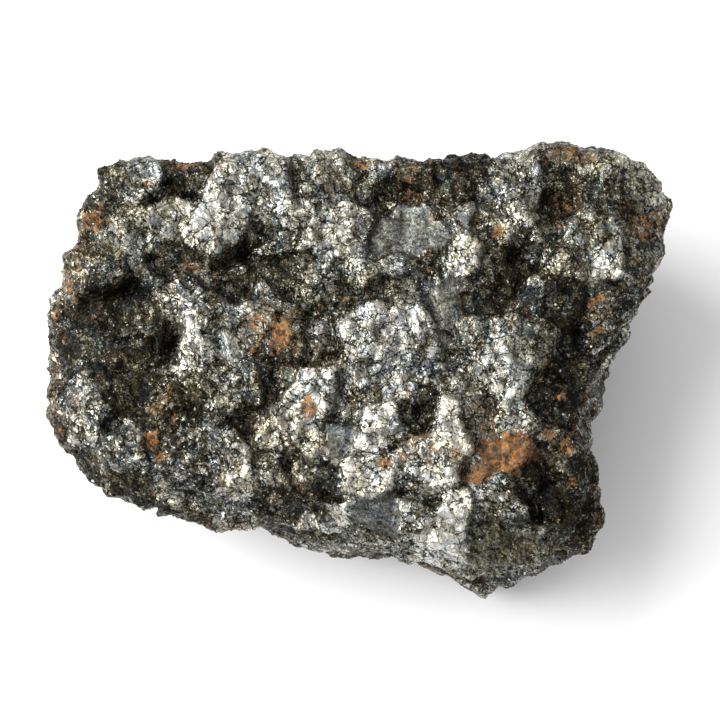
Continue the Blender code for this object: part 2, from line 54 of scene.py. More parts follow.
# The block, with the same driving sizes as the solid
FACE_HEIGHT = 43.0
HEART = np.array([-1.0, 4.0, 23.0])
HALF_BOX = np.array([51.0, 37.0, 24.0])
UNDERSIDE = -0.8
EDGE_SHARPNESS = 22.0
FACE_FALL = np.array([0.020, 0.012])
FACE_TURN = (0.35, 0.85)
BASE_TURN = (0.50, 0.95)
BOX_MIDDLE = np.array([-0.4, 3.6, 0.0])
OUTLINE_GROWTH = 1.032
OUTLINE_BAND = 7.0
OUTLINE_STEP = 3.0
CORNER_WEAR = 5

# The widest outline seen from above, counter-clockwise from the right: x, y
OUTLINE = [
    (43.9, 8.2), (44.5, 12.6), (46.8, 16.8), (50.1, 22.1), (50.4, 25.6), (51.6, 29.9),
    (50.4, 33.0), (47.4, 34.8), (43.0, 34.4), (41.0, 36.6), (36.5, 40.2), (33.5, 40.8),
    (30.5, 38.6), (27.7, 39.3), (24.0, 36.4), (12.0, 35.8), (0.0, 35.1), (-7.0, 34.9),
    (-10.0, 36.3), (-18.0, 36.5), (-23.0, 35.9), (-30.0, 36.0), (-36.0, 36.0), (-40.6, 35.2),
    (-42.4, 33.6), (-42.6, 31.5), (-45.2, 30.1), (-45.8, 27.4), (-47.5, 22.3), (-48.4, 17.9),
    (-50.8, 14.2), (-52.0, 10.4), (-52.5, 2.8), (-52.7, -1.6), (-51.6, -6.8), (-49.2, -10.0),
    (-47.3, -12.4), (-45.2, -16.2), (-42.1, -17.1), (-41.5, -18.7), (-35.9, -20.8),
    (-30.7, -21.5), (-26.3, -22.9), (-12.8, -22.3), (-9.6, -25.0), (0.0, -26.2), (5.3, -26.3),
    (14.9, -28.4), (18.7, -31.6), (20.4, -33.0), (24.0, -31.6), (26.0, -31.9), (27.6, -30.2),
    (33.8, -28.9), (39.3, -27.5), (40.6, -22.9), (38.6, -18.4), (38.3, -13.4), (36.0, -6.5),
    (36.6, -1.0), (40.2, 0.9), (43.4, 5.4),
]

# How the walls stand, round the stone: compass angle, height of the widest line, lean below, lean above
WALLS = [
    (0, 33, 0.26, 0.30), (35, 35, 0.22, 0.22), (50, 28, 0.16, 0.34), (90, 38, 0.10, 0.25),
    (120, 36, 0.06, 0.30), (145, 34, 0.24, 0.30), (180, 27, 0.20, 0.42), (205, 30, 0.34, 0.55),
    (240, 30, 0.26, 0.50), (265, 27, 0.18, 0.35), (285, 18, 0.22, 0.12), (303, 9, 0.24, 0.02),
    (322, 22, 0.22, 0.16), (342, 30, 0.28, 0.25),
]

# Old fracture planes that bevel the walls down to the base: compass angle, dip, distance from the heart
LOWER_BREAKS = [
    (352, 34, 38.5), (62, 26, 42.0), (104, 14, 35.0), (146, 36, 43.5), (196, 36, 43.0), (236, 30, 35.0),
]

# The ore's finishes: tone, from 0 for dark to 1 for bright, then how olive, rusty, smooth and warm they are
FINISHES = {
    "bright": (0.95, 0.00, 0.00, 0.00, 0.10),
    "silver": (0.79, 0.08, 0.00, 0.00, 0.15),
    "pale": (0.77, 0.00, 0.00, 0.05, 0.00),
    "cream": (0.93, 0.12, 0.10, 0.00, 0.75),
    "greenish": (0.70, 0.40, 0.00, 0.05, 0.25),
    "grey": (0.62, 0.10, 0.00, 0.10, 0.05),
    "slate": (0.34, 0.12, 0.00, 0.90, 0.00),
    "moss": (0.44, 0.60, 0.02, 0.46, 0.20),
    "olive": (0.33, 0.75, 0.05, 0.15, 0.25),
    "mottled": (0.55, 0.30, 0.06, 0.00, 0.25),
    "charcoal": (0.15, 0.40, 0.05, 0.00, 0.30),
    # black: the darkest ore, set only in the deepest hollows of the face, where it also paints their shade
    "black": (0.03, 0.10, 0.02, 0.00, 0.10),
    "brown": (0.26, 0.60, 0.28, 0.05, 0.60),
    "crusty": (0.60, 0.15, 0.35, 0.00, 0.60),
    "rust": (0.45, 0.05, 0.95, 0.00, 0.60),
}
TONE, OLIVE, RUST, SMOOTH, WARM = range(5)      # the five numbers of a finish

# The broken face: x, y, reach, height off the mean face, rise along x, rise along y, finish
FACETS = [
    (-47, 18, 3.0, -3.0, 0.35, 0.0, "crusty"),
    (-41, 31, 3.5, -0.5, 0.2, 0.1, "olive"),
    (-44, 26, 2.6, -4.0, 0.3, 0.0, "brown"),
    (-36, 32, 4.0, 0.8, 0.0, 0.1, "silver"),
    (-33, 29.3, 1.7, -2.8, 0.0, 0.0, "charcoal"),
    (-27.5, 33, 3.4, -2.6, 0.0, 0.3, "charcoal"),
    (-21, 31, 4.2, 1.6, 0.1, -0.1, "silver"),
    (-31, 25, 4.0, 0.9, 0.2, 0.0, "greenish"),
    (-24, 23, 4.5, 2.6, 0.05, -0.1, "silver"),
    (-38, 23, 3.5, -0.4, -0.15, 0.1, "greenish"),
    (-35.5, 18.5, 2.2, -1.6, 0.1, 0.2, "mottled"),
    (-31, 18.6, 2.0, -2.2, 0.0, 0.2, "mottled"),
    (-26, 17.6, 2.4, -2.8, 0.0, 0.1, "mottled"),
    (-21.5, 18.8, 2.0, -2.4, 0.0, 0.0, "olive"),
    (-41, 16.5, 3.4, -0.6, 0.15, -0.2, "olive"),
    (-43.5, 9, 1.6, -4.2, 0.0, 0.0, "black"),
    (-40.5, 12.2, 1.5, -4.0, 0.0, 0.0, "black"),
    (-37.0, 14.8, 1.4, -3.4, 0.0, 0.0, "black"),
    (-47, 6, 3.2, -3.0, 0.4, 0.0, "charcoal"),
    (-38, 7, 6.0, -2.0, -0.02, -0.05, "charcoal"),
    (-37, -1, 5.0, -2.4, 0.04, 0.05, "charcoal"),
    (-31.0, 6, 1.5, -4.4, 0.0, 0.0, "black"),
    (-32.0, 2, 1.3, -3.0, 0.0, 0.0, "mottled"),
    (-27.6, 9, 2.6, 0.4, 0.9, 0.0, "bright"),
    (-27.5, 3.5, 2.8, -0.4, 0.6, 0.2, "silver"),
    (-29, 14.5, 2.6, -0.8, 0.4, -0.2, "silver"),
    (-22.5, 10, 3.0, 1.8, -0.2, 0.0, "grey"),
    (-22, 4, 2.6, 0.8, 0.0, 0.3, "silver"),
    (-16.5, 8.5, 3.2, 1.8, 0.1, 0.1, "crusty"),
    (-12.3, 6.2, 3.0, 0.8, 0.2, 0.1, "brown"),
    (-15.0, 13.2, 2.2, 1.2, 0.1, 0.2, "grey"),
    (-20, 14.5, 3.0, -1.2, -0.2, 0.1, "olive"),
    (-12, 16.5, 3.6, -1.6, 0.0, 0.0, "olive"),
    (-8.5, 16.8, 2.2, -1.3, 0.2, 0.1, "mottled"),
    (-4, 13, 3.4, -1.4, 0.0, 0.1, "olive"),
    (-6.3, 5.0, 1.6, -1.7, 0.0, 0.0, "mottled"),
    (-13, 22, 3.4, 0.8, 0.2, 0.0, "grey"),
    (-8, 23.5, 2.6, 1.2, -0.2, 0.1, "silver"),
    (-13.2, 29, 2.8, 1.6, 0.1, 0.0, "bright"),
    (-10.4, 29.5, 1.2, -2.2, 0.0, 0.0, "grey"),
    (-6, 30, 3.6, 0.6, -0.1, 0.0, "mottled"),
    (-1.5, 23.5, 3.6, 1.2, 0.1, 0.1, "pale"),
    (0, 31, 3.0, 0.2, 0.0, 0.1, "grey"),
    (3.8, 28.5, 1.7, -3.0, 0.0, 0.0, "mottled"),
    (8.5, 23.2, 4.6, -0.6, 0.02, 0.06, "slate"),
    (4.8, 22.3, 3.4, -0.7, 0.02, 0.06, "slate"),
    (11.8, 23.0, 2.6, -0.6, 0.02, 0.06, "slate"),
    (9.0, 29.8, 2.8, 0.9, 0.0, 0.45, "brown"),
    (13.0, 26.8, 1.8, -0.2, -0.3, 0.0, "charcoal"),
    (16.7, 25.5, 2.0, 1.3, 0.1, 0.0, "silver"),
    (17.0, 31, 3.4, 0.3, 0.0, 0.1, "charcoal"),
    (21.5, 25.5, 2.8, -0.9, 0.1, 0.2, "mottled"),
    (22.0, 30.5, 2.6, 0.6, 0.0, 0.1, "grey"),
    (17.4, 18.2, 3.0, 1.8, 0.25, 0.0, "cream"),
    (6.0, 18.0, 3.0, 0.5, 0.1, 0.1, "grey"),
    (1.5, 17.0, 2.8, 0.3, 0.2, 0.0, "greenish"),
    (12.0, 18.3, 2.4, -0.8, -0.2, 0.0, "olive"),
    (4.5, 13.5, 3.0, -1.7, 0.0, -0.05, "olive"),
    (9.5, 14.0, 2.4, -1.5, 0.0, 0.0, "silver"),
    (14.0, 12.0, 3.0, -0.6, 0.12, 0.1, "slate"),
    (20.0, 12.0, 3.4, -1.4, -0.22, 0.1, "charcoal"),
    (24.5, 14.5, 2.2, -1.6, -0.1, 0.0, "charcoal"),
    (26.8, 18.8, 1.8, -3.4, 0.0, 0.0, "black"),
    (22.0, 17.5, 2.2, -1.0, -0.2, 0.0, "mottled"),
    (27.0, 23.5, 3.2, 0.9, 0.1, 0.1, "silver"),
    (26.5, 31.0, 3.4, 1.0, 0.1, 0.0, "silver"),
    (33.2, 28.0, 2.0, -2.8, 0.0, 0.1, "brown"),
    (31.0, 24.0, 2.0, -1.2, 0.1, 0.0, "mottled"),
    (34.0, 33.0, 3.2, -0.2, -0.1, 0.0, "mottled"),
    (37.3, 23.2, 3.4, 1.5, 0.12, 0.05, "greenish"),
    (33.5, 17.0, 2.6, 0.9, 0.2, 0.0, "mottled"),
    (40.2, 18.0, 3.2, 1.6, 0.22, 0.0, "bright"),
    (41.0, 29.5, 3.4, 0.4, -0.05, 0.0, "mottled"),
    (45.5, 30.5, 3.4, -0.8, -0.2, 0.0, "greenish"),
    (47.0, 25.0, 2.8, -2.6, -0.5, 0.0, "crusty"),
    (45.5, 18.5, 3.0, -1.8, -0.4, 0.0, "mottled"),
    (39.0, 12.0, 2.6, -1.6, 0.0, 0.1, "charcoal"),
    (40.0, 7.0, 2.8, -1.8, -0.2, 0.1, "mottled"),
    (33.0, 11.5, 3.6, -0.2, 0.0, 0.1, "charcoal"),
    (28.5, 12.5, 2.4, 0.5, 0.1, 0.0, "grey"),
    (35.5, 2.8, 3.2, -2.2, 0.0, -0.1, "charcoal"),
    (27.5, 5.5, 3.6, 1.0, -0.05, 0.1, "mottled"),
    (20.0, 6.5, 3.4, 1.1, 0.05, 0.1, "grey"),
    (14.6, 4.0, 1.2, -1.4, 0.0, 0.0, "grey"),
    (6.0, 8.5, 5.0, 1.6, 0.1, 0.05, "pale"),
    (0.5, 6.5, 3.4, 1.2, 0.3, 0.0, "pale"),
    (6.0, 3.6, 3.4, 1.0, 0.0, 0.1, "pale"),
    (11.0, 3.0, 2.6, 1.2, -0.1, 0.0, "pale"),
    (8.0, -1.5, 3.2, 0.8, 0.05, 0.1, "pale"),
    (2.0, -2.0, 3.0, 0.4, 0.1, 0.0, "grey"),
    (-7.5, -4.5, 3.6, 2.3, 0.15, 0.0, "bright"),
    (-12.5, -9.5, 3.2, 1.2, 0.3, 0.1, "cream"),
    (-19, -2.5, 3.6, 0.8, 0.0, 0.1, "grey"),
    (-25, -4.0, 3.6, 0.2, 0.1, 0.0, "olive"),
    (-14.0, -1.5, 1.4, -1.7, 0.0, 0.0, "mottled"),
    (-17.0, -7.5, 1.8, -1.6, 0.1, 0.0, "charcoal"),
    (-31.5, -4.5, 3.0, -1.2, 0.2, 0.0, "brown"),
    (-43.5, -5.5, 3.2, -0.6, 0.15, 0.1, "grey"),
    (-40.8, -8.0, 1.3, -2.8, 0.0, 0.0, "mottled"),
    (-37.0, -11.3, 3.0, -0.2, 0.1, 0.1, "silver"),
    (-33.0, -11.0, 2.2, -1.0, 0.2, 0.1, "mottled"),
    (-42.0, -12.8, 3.0, -1.6, 0.3, 0.2, "grey"),
    (-36.5, -17.5, 3.4, -3.0, 0.1, 0.45, "olive"),
    (-31.5, -19.0, 2.8, -2.4, 0.0, 0.5, "silver"),
    (-27.0, -20.0, 2.6, -3.0, -0.1, 0.45, "grey"),
    (-23, -13.0, 3.6, 0.0, 0.1, 0.1, "grey"),
    (-19.5, -17.0, 3.0, 0.2, 0.1, 0.2, "cream"),
    (-20.5, -22.0, 3.0, -3.6, 0.0, 0.8, "grey"),
    (-14.0, -22.0, 2.8, -3.6, 0.0, 0.7, "olive"),
    (-14.5, -15.5, 1.8, -1.0, 0.0, 0.0, "mottled"),
    (-9.4, -14.6, 1.0, -2.6, 0.0, 0.0, "mottled"),
    (-6.5, -18.8, 2.2, -2.0, 0.0, 0.1, "olive"),
    (-8.0, -11.5, 2.6, 1.0, 0.1, 0.1, "cream"),
    (-2.8, -11.0, 2.2, 0.3, 0.0, 0.05, "slate"),
    (-2.2, -6.5, 1.9, -1.2, 0.0, 0.0, "grey"),
    (3.0, -7.6, 2.4, 2.3, 0.15, 0.1, "bright"),
    (2.0, -14.5, 3.6, 1.2, 0.0, 0.1, "bright"),
    (9.8, -7.2, 1.8, -1.4, 0.1, 0.0, "olive"),
    (8.0, -13.5, 3.0, 0.9, 0.1, 0.1, "silver"),
    (14.2, -8.5, 2.4, 2.4, 0.3, 0.0, "bright"),
    (14.6, -14.0, 2.4, 1.9, 0.3, 0.1, "cream"),
    (19.3, -7.8, 2.4, -0.6, -0.8, 0.0, "crusty"),
    (24.8, -7.2, 2.6, 0.4, 0.1, 0.1, "grey"),
    (23.5, -12.5, 2.8, -0.8, 0.1, 0.2, "rust"),
    (19.5, -16.5, 2.0, -1.0, 0.1, 0.2, "crusty"),
    (24.0, -2.8, 2.6, 1.5, 0.0, 0.1, "silver"),
    (18.5, -2.0, 2.4, 0.8, 0.0, 0.1, "grey"),
    (31.5, -4.5, 2.8, -2.6, -0.1, 0.0, "charcoal"),
    (34.5, -8.0, 2.4, -3.2, -0.2, 0.0, "charcoal"),
    (33.0, -12.0, 2.6, -2.0, -0.1, 0.1, "mottled"),
    (36.5, -16.0, 2.4, -3.6, -0.4, 0.0, "charcoal"),
    (28.0, -17.5, 2.0, -5.0, -0.3, 0.0, "black"),
    (31.5, -20.5, 3.2, -7.5, 0.0, 0.1, "black"),
    (35.0, -22.0, 2.0, -6.0, 0.1, 0.0, "charcoal"),
    (22.5, -20.5, 3.6, -0.4, 0.3, 0.35, "grey"),
    (14.5, -20.0, 3.0, 1.2, 0.2, 0.2, "bright"),
    (8.5, -23.5, 3.0, 0.2, 0.15, 0.3, "grey"),
    (3.0, -22.8, 3.4, -0.8, 0.0, 0.2, "slate"),
    (2.0, -18.8, 2.4, 0.8, 0.1, 0.3, "cream"),
    (9.0, -19.0, 2.2, 0.6, 0.0, 0.2, "grey"),
    (-5.5, -25.0, 3.2, -2.2, 0.1, 0.5, "bright"),
    (1.5, -26.5, 2.4, -2.6, 0.0, 0.5, "mottled"),
    (13.0, -26.5, 2.8, -2.0, 0.1, 0.4, "bright"),
    (22.0, -26.8, 3.2, -4.6, 0.0, 0.25, "moss"),
    (30.5, -27.0, 2.8, -5.2, 0.0, 0.25, "moss"),
    (37.5, -26.0, 2.2, -6.0, -0.3, 0.2, "brown"),
]
FACE_DEPTH = 0.80           # what the heights above are multiplied by
FACET_BLEND = 1.4           # square millimetres, the softness of the border between two facets
FACET_LIMIT = 3.2           # the most that a facet rises or falls from its seed
RAGGED_WAVES = ((5.0, 0.9), (1.9, 0.36))    # sizes and reaches of the waves in those borders

# Stains on the face: x, y, half length, half width, turn in degrees, how strong the rust is
STAINS = [
    (-12.6, 6.0, 2.9, 1.5, 70, 1.0),
    (-16.5, 8.5, 2.6, 0.9, 20, 0.7),
    (-27.5, 18.0, 1.4, 0.6, 0, 0.8),
    (-46.5, -3.2, 1.3, 0.9, 60, 0.8),
    (-33.6, -10.4, 1.7, 1.1, 110, 1.0),
    (-32.4, -13.2, 1.2, 0.8, 90, 0.8),
    (-7.8, -6.2, 1.9, 1.1, 90, 0.9),
    (-12.5, -9.0, 1.2, 0.8, 90, 0.4),
    (24.6, -11.9, 4.2, 2.0, -12, 1.0),
    (21.6, -13.6, 2.6, 1.6, 40, 0.9),
    (19.4, -16.7, 2.2, 1.2, 20, 0.9),
    (30.6, -10.4, 1.2, 0.7, 10, 0.8),
    (33.4, -11.6, 1.6, 1.0, -60, 0.7),
    (34.9, -9.4, 0.8, 0.5, 0, 0.7),
    (4.4, -15.0, 1.6, 0.9, -50, 0.7),
    (7.6, -12.6, 2.4, 1.2, 60, 0.5),
    (11.4, -13.6, 2.6, 0.6, 75, 0.7),
    (15.4, -13.2, 1.3, 0.8, 90, 0.6),
    (10.4, -10.6, 1.4, 0.6, 50, 0.5),
    (22.8, 22.8, 1.2, 0.7, 10, 0.9),
    (33.6, 27.4, 1.8, 0.8, -10, 0.5),
    (33.0, 24.0, 0.7, 0.6, 0, 0.7),
    (38.6, 11.6, 1.6, 0.7, 10, 0.9),
    (38.8, 6.9, 1.2, 0.6, 10, 0.9),
    (47.2, 24.6, 2.6, 1.0, 105, 0.6),
    (45.2, 18.2, 1.3, 0.8, 30, 0.5),
    (36.6, 36.4, 4.2, 1.6, -10, 0.6),
    (31.6, 35.6, 1.8, 1.2, 30, 0.6),
    (0.6, 34.2, 1.6, 0.7, 10, 0.8),
    (-44.0, 26.2, 2.4, 1.6, 80, 0.7),
    (-47.6, 15.2, 1.2, 0.8, 45, 0.7),
    (-48.6, 6.6, 1.0, 0.6, 70, 0.7),
    (-49.8, 11.6, 1.2, 0.7, 60, 0.6),
    (33.0, -3.8, 1.0, 0.7, 0, 0.9),
    (36.9, -2.9, 1.2, 0.6, 50, 0.8),
    (34.4, -17.4, 1.2, 0.6, 20, 0.7),
    (30.2, -32.0, 0.9, 0.7, 60, 0.9),
    (-22.0, 33.6, 1.0, 0.5, 0, 0.5),
    (-29.4, 34.6, 3.0, 0.8, 0, 0.6),
    (-14.4, 28.0, 0.8, 0.5, 60, 0.5),
    (-34.5, 31.2, 0.7, 0.5, 0, 0.4),
]

# Grooves and undersides of ledges on the face, cut in and with their shade painted into the tone: half width,
# depth, how dark the painted shade is, and the line they follow
GROOVES = [
    (0.8, 1.2, 0.05, [
        (-33.6, 18.9), (-29.9, 17.9), (-25.6, 17.0), (-21.8, 17.9), (-18.7, 20.7), (-16.9, 22.3),
    ]),
    (0.5, 0.8, 0.30, [(-24.3, 16.4), (-19.4, 12.7)]),
    (0.7, 1.4, 0.40, [(-41.1, 12.3), (-38.0, 14.0), (-35.2, 16.1)]),
    (0.9, 1.2, 0.60, [(-45.4, 8.5), (-44.9, 10.5), (-43.9, 12.4)]),
    (0.8, 1.6, 0.22, [(-29.9, 8.9), (-30.3, 4.0), (-31.8, 1.5)]),
    (0.5, 0.7, 0.45, [(-24.9, 6.1), (-21.2, 4.3)]),
    (0.5, 0.7, 0.25, [(-13.8, 0.9), (-13.6, -4.1)]),
    (0.6, 0.8, 0.30, [(-4.9, 9.5), (-4.2, 6.0), (-3.6, 3.6)]),
    (0.6, 1.2, 0.15, [(2.8, 29.6), (3.8, 28.0), (5.6, 26.0)]),
    (0.4, 0.7, 0.40, [(-12.6, 18.2), (-9.8, 16.0), (-6.9, 14.5)]),
    (0.3, 0.5, 0.40, [(-2.6, -13.3), (3.6, -13.0), (6.7, -11.4), (11.7, -9.5)]),
    (0.4, 0.8, 0.45, [(6.7, -19.5), (11.4, -21.6), (14.8, -19.5), (17.5, -18.2)]),
    (0.7, 1.2, 0.30, [(23.5, -16.4), (26.4, -20.0), (29.0, -23.2)]),
    (0.5, 0.8, 0.12, [(9.2, -6.0), (11.3, -9.5)]),
    (0.4, 0.9, 0.35, [(16.7, -3.8), (16.7, -9.8)]),
    (0.4, 0.6, 0.35, [(15.6, 3.8), (14.0, 2.0), (12.2, 1.4)]),
    (0.5, 0.9, 0.30, [(8.0, 15.8), (11.5, 13.6), (12.6, 11.2)]),
    (0.4, 0.7, 0.30, [(24.0, 18.6), (27.4, 21.0), (29.6, 24.6)]),
    (0.5, 0.9, 0.05, [(-41.4, -6.8), (-39.8, -9.6)]),
    (0.4, 0.7, 0.35, [(-27.6, -6.0), (-26.0, -12.0)]),
    (0.3, 0.5, 0.35, [(-16.0, -13.4), (-11.0, -12.2), (-8.4, -14.8)]),
    (0.4, 0.6, 0.30, [(-2.0, 20.6), (2.6, 19.2), (5.6, 20.0)]),
]

# Creased fracture planes: size, depth, three turns in degrees, shares left on the face and at the waist
CREASES = [
    (21.0, 3.4, (31, 17, 52), 0.12, 0.12),
    (9.5, 2.0, (-24, 48, 15), 0.60, 0.20),
    (4.4, 1.15, (11, -35, 70), 1.00, 1.00),
    (2.1, 0.66, (61, 22, -40), 1.00, 1.00),
    (1.0, 0.34, (5, 72, 33), 1.00, 1.00),
]
CREASE_BEND = 0.22          # how far the creases wander, as a share of their size
STEPS = (7.0, 1.3, 0.16)    # size, height and tilt of the broken planes
STEP_CRISPNESS = 26.0       # how sharp the borders between them are
FACE_STEPS = 0.25           # share of them left on the face
LEDGE_ENDS = (-46.0, -36.0)     # where the thin ledges start to fade and end, along X
LEDGE_PITCH = 2.6
LEDGE_DEPTH = 0.5
LEDGE_DIP = np.array([0.30, 0.18, 0.93])
LEDGE_WAVES = (9.0, 1.2)    # size and reach of the waves in them
SURFACE_WAVES = (3.0, 0.35)     # size and height of the soft waves all over
BASE_WEAR = 0.65            # share of the relief that is worn off the underside
RIDGE_SIZE = 5.0            # creases under this size count as small ridges
SMOOTH_CALM = 0.85          # how much of the small creases the smooth facets lose
PAINTED_RIDGE_SHADING = 0.16           # painted light and shade: how much brighter the tone is painted on the small ridges than in the hollows

# The fine grid, how far its points wander as a share of their spacing, and its sides' rooms on the UV square
FINE_STEPS = (200, 142, 60)
GRID_WANDER = 0.30
UV_ROOMS = {
    (2, 1): (0.00, 0.38, 0.60, 1.00), (2, 0): (0.61, 0.38, 1.00, 1.00),
    (0, 0): (0.00, 0.00, 0.24, 0.37), (0, 1): (0.25, 0.00, 0.49, 0.37),
    (1, 0): (0.50, 0.00, 0.74, 0.37), (1, 1): (0.75, 0.00, 0.99, 0.37),
}

# Steady random numbers
CELL_FACTORS = np.array([73856093, 19349663, 83492791])
SEED_FACTOR = 40503
NEXT_NUMBER = np.uint32(0x9E3779B9)
WORD = 2 ** 32
NOISE_GAIN = 1.4


def scrambled(keys):
    """Whole numbers turned into unrelated ones, by shifts and wrapping products."""
    keys = (keys ^ (keys >> np.uint32(16))) * np.uint32(0x7FEB352D)
    keys = (keys ^ (keys >> np.uint32(15))) * np.uint32(0x846CA68B)
    return keys ^ (keys >> np.uint32(16))


def cell_numbers(cells, seed, count):
    """As many steady random numbers from 0 to 1 as asked for, for each cell of a whole-number lattice."""
    products = cells.astype(np.int64) * CELL_FACTORS
    keys = products[:, 0] ^ products[:, 1] ^ products[:, 2] ^ (seed * SEED_FACTOR)
    keys = (keys % WORD).astype(np.uint32)
    columns = []
    for _ in range(count):
        keys = scrambled(keys + NEXT_NUMBER)
        columns.append(keys / WORD)
    return np.stack(columns, axis=1)


def lattice_shifts(low, high):
    """Every whole-number step from low up to high along three axes."""
    steps = np.arange(low, high)
    return np.stack(np.meshgrid(steps, steps, steps, indexing="ij"), axis=-1).reshape(-1, 3)


def soft_noise(points, size, seed):
    """Smooth noise from -1 to 1: random slopes at the corners of a lattice, blended by a smooth step."""
    scaled = points / size
    home = np.floor(scaled)
    inner = scaled - home
    ease = inner * inner * inner * (inner * (inner * 6.0 - 15.0) + 10.0)
    total = np.zeros(len(points))
    for shift in lattice_shifts(0, 2):
        slopes = cell_numbers(home + shift, seed, 3) * 2.0 - 1.0
        share = np.where(shift == 1, ease, 1.0 - ease).prod(axis=1)
        total += share * (slopes * (inner - shift)).sum(axis=1)
    return total * NOISE_GAIN


def broken_planes(points, size, step, tilt, seed):
    """Random tilted planes round the jittered points of a lattice, the nearest plane showing most.

    The weights fall off as exp(-crispness * squared distance).
    """
    scaled = points / size
    home = np.floor(scaled)
    height = np.zeros(len(points))
    weight = np.zeros(len(points))
    for shift in lattice_shifts(-1, 2):
        cell = home + shift
        numbers = cell_numbers(cell, seed, 7)
        gap = scaled - cell - numbers[:, 0:3]
        share = np.exp(-STEP_CRISPNESS * (gap * gap).sum(axis=1))
        slope = (numbers[:, 3:6] * 2.0 - 1.0) * tilt * size
        height += share * ((numbers[:, 6] - 0.5) * step + (slope * gap).sum(axis=1))
        weight += share
    return height / weight


def turned(points, degrees):
    """Points turned about X, then Y, then Z."""
    for axis, angle in enumerate(np.radians(degrees)):
        first, second = (axis + 1) % 3, (axis + 2) % 3
        spun = points.copy()
        spun[:, first] = points[:, first] * np.cos(angle) - points[:, second] * np.sin(angle)
        spun[:, second] = points[:, first] * np.sin(angle) + points[:, second] * np.cos(angle)
        points = spun
    return points


def creased_planes(points, size, turns, seed):
    """Flat faces meeting at sharp creases, from -1 to 1.

    Each cube of a turned lattice is parted in six wedges by the order of a point's three inner
    coordinates, and the height is the straight blend of the random heights at a wedge's four corners.
    """
    bend = np.column_stack([soft_noise(points, size, seed + k) for k in (1, 2, 3)])
    scaled = turned(points + CREASE_BEND * size * bend, turns) / size
    home = np.floor(scaled)
    inner = scaled - home
    order = np.argsort(-inner, axis=1)
    ranked = -np.sort(-inner, axis=1)
    corner = home.copy()
    height = (1.0 - ranked[:, 0]) * cell_numbers(corner, seed, 1)[:, 0]
    for turn in range(3):
        corner[np.arange(len(points)), order[:, turn]] += 1.0
        share = ranked[:, turn] - (ranked[:, turn + 1] if turn < 2 else 0.0)
        height += share * cell_numbers(corner, seed, 1)[:, 0]
    return height * 2.0 - 1.0


def smooth_step(values, low, high):
    """0 below low, 1 above high, and an even curve between them."""
    share = np.clip((values - low) / (high - low), 0.0, 1.0)
    return share * share * (3.0 - 2.0 * share)


def unit(vectors):
    """Vectors brought to length 1."""
    return vectors / np.maximum(np.linalg.norm(vectors, axis=1), 1e-9)[:, None]


def box_grid(steps):
    """A closed grid over a box from -1 to 1: points, four-cornered faces facing out, and their UV corners.

    Each side of the box is one patch. The upper side fills the upper left of the UV square, the lower
    side the upper right, and the four walls lie in a row below them.
    """
    quads, corners = [], []
    for axis in range(3):
        across, up = (axis + 1) % 3, (axis + 2) % 3
        u, v = np.meshgrid(np.arange(steps[across] + 1), np.arange(steps[up] + 1), indexing="ij")
        for side in (0, 1):
            patch = np.empty(u.shape + (5,))
            patch[..., axis] = side * steps[axis]
            patch[..., across] = u
            patch[..., up] = v
            left, low, right, high = UV_ROOMS[(axis, side)]
            patch[..., 3] = left + (right - left) * u / steps[across]
            patch[..., 4] = low + (high - low) * v / steps[up]
            patch = patch if side else patch.swapaxes(0, 1)
            cells = np.stack([patch[:-1, :-1], patch[1:, :-1], patch[1:, 1:], patch[:-1, 1:]], axis=2)
            quads.append(cells[..., :3].reshape(-1, 3).astype(int))
            corners.append(cells[..., 3:].reshape(-1, 2))
    lattice, index = np.unique(np.concatenate(quads), axis=0, return_inverse=True)
    return lattice, index.reshape(-1, 4), np.concatenate(corners)


def round_table(angles, rows):
    """The columns of a table of compass angles, read smoothly at each angle in degrees."""
    table = np.array(rows, float)
    return [np.interp(angles, table[:, 0], column, period=360.0) for column in table.T[1:]]


def outline_radius(around):
    """The outline's distance from the heart at each compass angle, sharp and worn."""
    corners = np.array(OUTLINE) - HEART[:2]
    corner_angles = np.degrees(np.arctan2(corners[:, 1], corners[:, 0]))
    reach = np.hypot(corners[:, 0], corners[:, 1])
    sharp = np.interp(around, corner_angles, reach, period=360.0)
    steps = np.arange(0.0, 360.0, OUTLINE_STEP)
    stepped = np.interp(steps, corner_angles, reach, period=360.0)
    shifts = range(-CORNER_WEAR, CORNER_WEAR + 1)
    worn = np.mean([np.roll(stepped, shift) for shift in shifts], axis=0)
    return sharp, np.interp(around, steps, worn, period=360.0)


